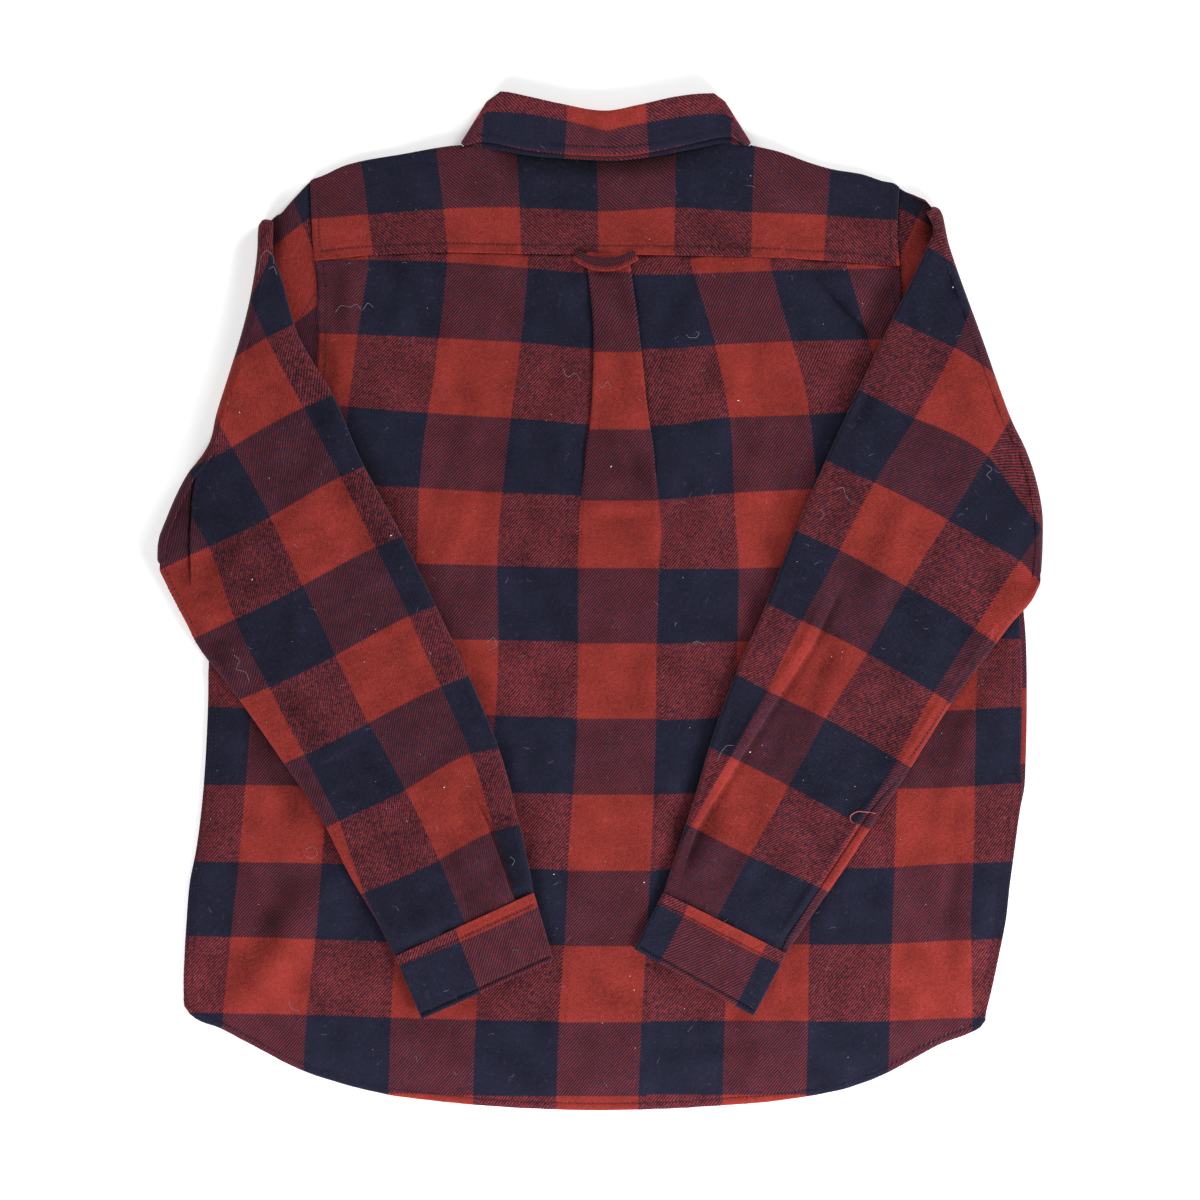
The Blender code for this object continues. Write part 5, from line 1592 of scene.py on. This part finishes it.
# ---------------------------------------------------------------------------
# The buttons.
# Turned resin buttons with a rolled rim round a shallow dish and four holes,
# sewn on with crossed thread. Seven hold the fronts and collar, one each cuff.

RESIN = (0.030, 0.017, 0.014)
BUTTON_RIM = 1.3
BUTTON_DISH = 0.45
BUTTON_ROUNDING = 0.7
HOLE_OUT = 1.35
HOLE_AT = 0.7 * HOLE_OUT      # each hole's x and y from the centre
HOLE_R = 0.62
HOLE_DEPTH = 0.6

resin = Finish("button_resin", 0.32, Specular_IOR_Level=0.5, Coat_Weight=0.2)
resin_place = resin.node("ShaderNodeTexCoord", {}, {}, output=3)
cloudy = resin.noise(resin_place, 0.006, 4.0)
resin.feed(resin.shader.inputs["Base Color"], resin.scaled(RESIN, cloudy * 1.6 + 1))


def button_hollow(x, y, radius):
    """How far the button's face lies below its rim's crown."""
    out = math.hypot(x, y)
    hole = min(math.hypot(x - a, y - b) for a in (-HOLE_AT, HOLE_AT) for b in (-HOLE_AT, HOLE_AT))
    dish = BUTTON_DISH * float(fade(radius - BUTTON_RIM - 0.5, radius - BUTTON_RIM, out))
    rounding = 0.5 * max(0, (out - radius + BUTTON_ROUNDING) / BUTTON_ROUNDING) ** 2
    return dish + rounding + HOLE_DEPTH * float(fade(HOLE_R * 0.6, HOLE_R, hole))


def make_button(name, node):
    lowest, highest = (np.array(list(corner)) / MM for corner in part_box(node))
    centre, radius = (lowest + highest) / 2, (highest[0] - lowest[0]) / 2
    thick = highest[2] - lowest[2]
    out = radius * np.array([0.07, 0.14, 0.21, 0.27, 0.33, 0.39, 0.45, 0.53, 0.63, 0.74, 0.80,
                             0.86, 0.92, 0.97, 1.0])
    around = np.linspace(0, 2 * math.pi, 48, endpoint=False)
    points = []
    for face in (-1, 1):
        for r in out:
            for turn in around:
                x, y = r * math.cos(turn), r * math.sin(turn)
                z = face * (thick / 2 - button_hollow(x, y, radius))
                points.append(tuple((centre + np.array([x, y, z])) * MM))
    rings, count = len(out), len(around)
    order = [*range(rings), *range(2 * rings - 1, rings - 1, -1)]
    faces = []
    for first, second in zip(order, order[1:]):
        a, b = first * count, second * count
        for m in range(count):
            n = (m + 1) % count
            faces.append((a + m, a + n, b + n, b + m))
    faces.append(list(range(count))[::-1])
    faces.append(list(range(rings * count, (rings + 1) * count)))
    button = smooth_piece(name, points, faces, resin.material)
    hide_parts(node)
    # The thread's two crossing runs on each face: along it, height, radius
    form = [(-1, -0.3, 0.2), (-0.5, 0.16, 0.3), (0.5, 0.16, 0.3), (1, -0.3, 0.2)]
    runs = []
    for sign in (-1, 1):
        for face in (-1, 1):
            z = centre[2] + face * (thick / 2 - BUTTON_DISH)
            runs.append([(centre[0] + along * HOLE_AT, centre[1] + along * sign * HOLE_AT,
                          z + face * height, thread) for along, height, thread in form])
    tubes(name + "_thread", runs, 6, sewing_thread)


for number in range(1, 7):
    make_button("front_button_%d" % number, "button_front_%d" % number)
make_button("top_button", "button_collar")
make_button("left_cuff_button", "button_cuff_left")
make_button("right_cuff_button", "button_cuff_right")

# ---------------------------------------------------------------------------
# Loose threads and lint.
# A few curled ends of thread, fine hairs rubbed out of the nap and specks of
# pale lint, all clinging to the cloth.

CURLS = [
    [(-214.7, 233.7), (-209, 239.4), (-202.5, 237.7), (-197.6, 240.2), (-192.8, 235.3),
     (-187.9, 241), (-183.9, 237.7)],
    [(-275.8, 264), (-273.6, 277), (-269, 282.5), (-264.5, 278.5), (-263.3, 272)],
    [(-267.3, 267.7), (-264, 269.5), (-260.8, 262.9)],
    [(69.7, 215.1), (72.9, 212.6), (78.6, 213.4), (80.2, 216.7), (77, 217.5)],
    [(-252, -324.4), (-249.5, -331), (-243.8, -332.5)],
    [(94.8, -129.2), (98.8, -121.1), (103.7, -117), (107.7, -117)],
    [(311.9, 109.8), (316.5, 106), (312.5, 101.5), (315.9, 97.6)],
    [(190.4, 89.5), (196, 91.5), (198.5, 85), (202.5, 79.8)],
    [(178.2, 73.3), (181, 69), (177.5, 65.2)],
    [(-295.6, -44), (-291, -49), (-294, -55), (-286, -58), (-283.5, -64.4)],
    [(-239, -202), (-233, -199), (-229, -205), (-234, -209), (-240, -206)],
    [(-72.6, -207), (-69, -210), (-71, -214)],
    [(-30, 188), (-26, 181), (-20, 184), (-16, 178)],
    [(-3, 176), (2, 172), (6, 177), (9, 171)],
    [(72, -38), (78, -33), (85, -36)],
    [(-92, -34), (-86, -30), (-84, -37), (-90, -40)]]
RED_CURL = [(222.5, -171.9), (218.5, -171.3), (213.6, -170.7), (209.5, -170.3), (206.2, -171.3),
            (203.6, -172.8), (202.2, -174.8), (202.3, -177.2), (203.8, -179.2)]
FLECKS = [(-291.1, 151.9), (-281.1, 17), (-168.8, 52.6), (121.3, -122.4), (35.6, -228),
          (285.1, 253.1), (-37.3, -221.5), (9, 108.4), (-126, -151), (112, 162)]
HAIRS = 150
SPECKS = 130
CLOTH_SPAN = ((-340, -400), (345, 365))
# Radii, or the least and the largest
CURL_R = 0.14
RED_R = 0.34
FLECK_R = 0.6
HAIR_R = (0.06, 0.10)
SPECK_R = (0.15, 0.34)
DROP = 3.2              # a thread lies over no step of the cloth as large as this


def lay(tree, plan, radius):
    """A thread lying on the cloth, or nothing where the cloth ends or drops below it."""
    z = heights(tree, plan)
    if not np.ptp(z) < DROP:
        return []
    thick = np.full(len(plan), radius)
    return [np.column_stack([plan, z + radius * 0.7, thick])]


def make_lint():
    tree = surface_of([back_panel, yoke, loop, collar, sleeve_left, sleeve_right, cuff_left,
                       cuff_right])
    draw = np.random.default_rng(7)
    runs = []
    for curl in CURLS:
        runs += lay(tree, path(curl, np.linspace(0, 1, 22)), CURL_R)
    while len(runs) < len(CURLS) + HAIRS:
        spot = draw.uniform(*CLOTH_SPAN)
        turn = draw.uniform(0, 2 * math.pi)
        plan = [spot]
        for _ in range(3):
            turn += draw.normal(0, 0.5)
            step = draw.uniform(0.8, 2.4)
            plan.append(plan[-1] + step * np.array([math.cos(turn), math.sin(turn)]))
        runs += lay(tree, np.array(plan), draw.uniform(*HAIR_R))
    hairs = tubes("loose_threads", runs, 4, thread_finish("pale_fibre", (0.19, 0.165, 0.19), 0.9))
    red = lay(tree, path(RED_CURL, np.linspace(0, 1, 48)), RED_R)
    curl = tubes("red_thread", red, 6, thread_finish("red_fibre", (0.42, 0.10, 0.08), 0.9))
    runs = []
    spots = [np.array(fleck) for fleck in FLECKS]
    sizes = [FLECK_R] * len(spots)
    for _ in range(SPECKS):
        spots.append(draw.uniform(*CLOTH_SPAN))
        sizes.append(draw.uniform(*SPECK_R))
    for spot, size in zip(spots, sizes):
        turn = draw.uniform(0, 2 * math.pi)
        reach = size * draw.uniform(0.6, 1.4) * np.array([math.cos(turn), math.sin(turn)])
        plan = np.array([spot - reach, spot - reach * 0.4, spot + reach * 0.4, spot + reach])
        for run in lay(tree, plan, size):
            run[:, 3] = size * np.array([0.2, 0.7, 0.7, 0.2])
            run[:, 2] -= size * 0.4
            runs.append(run)
    specks = tubes("lint", runs, 6, thread_finish("lint_fibre", (0.62, 0.58, 0.60), 0.95))


make_lint()
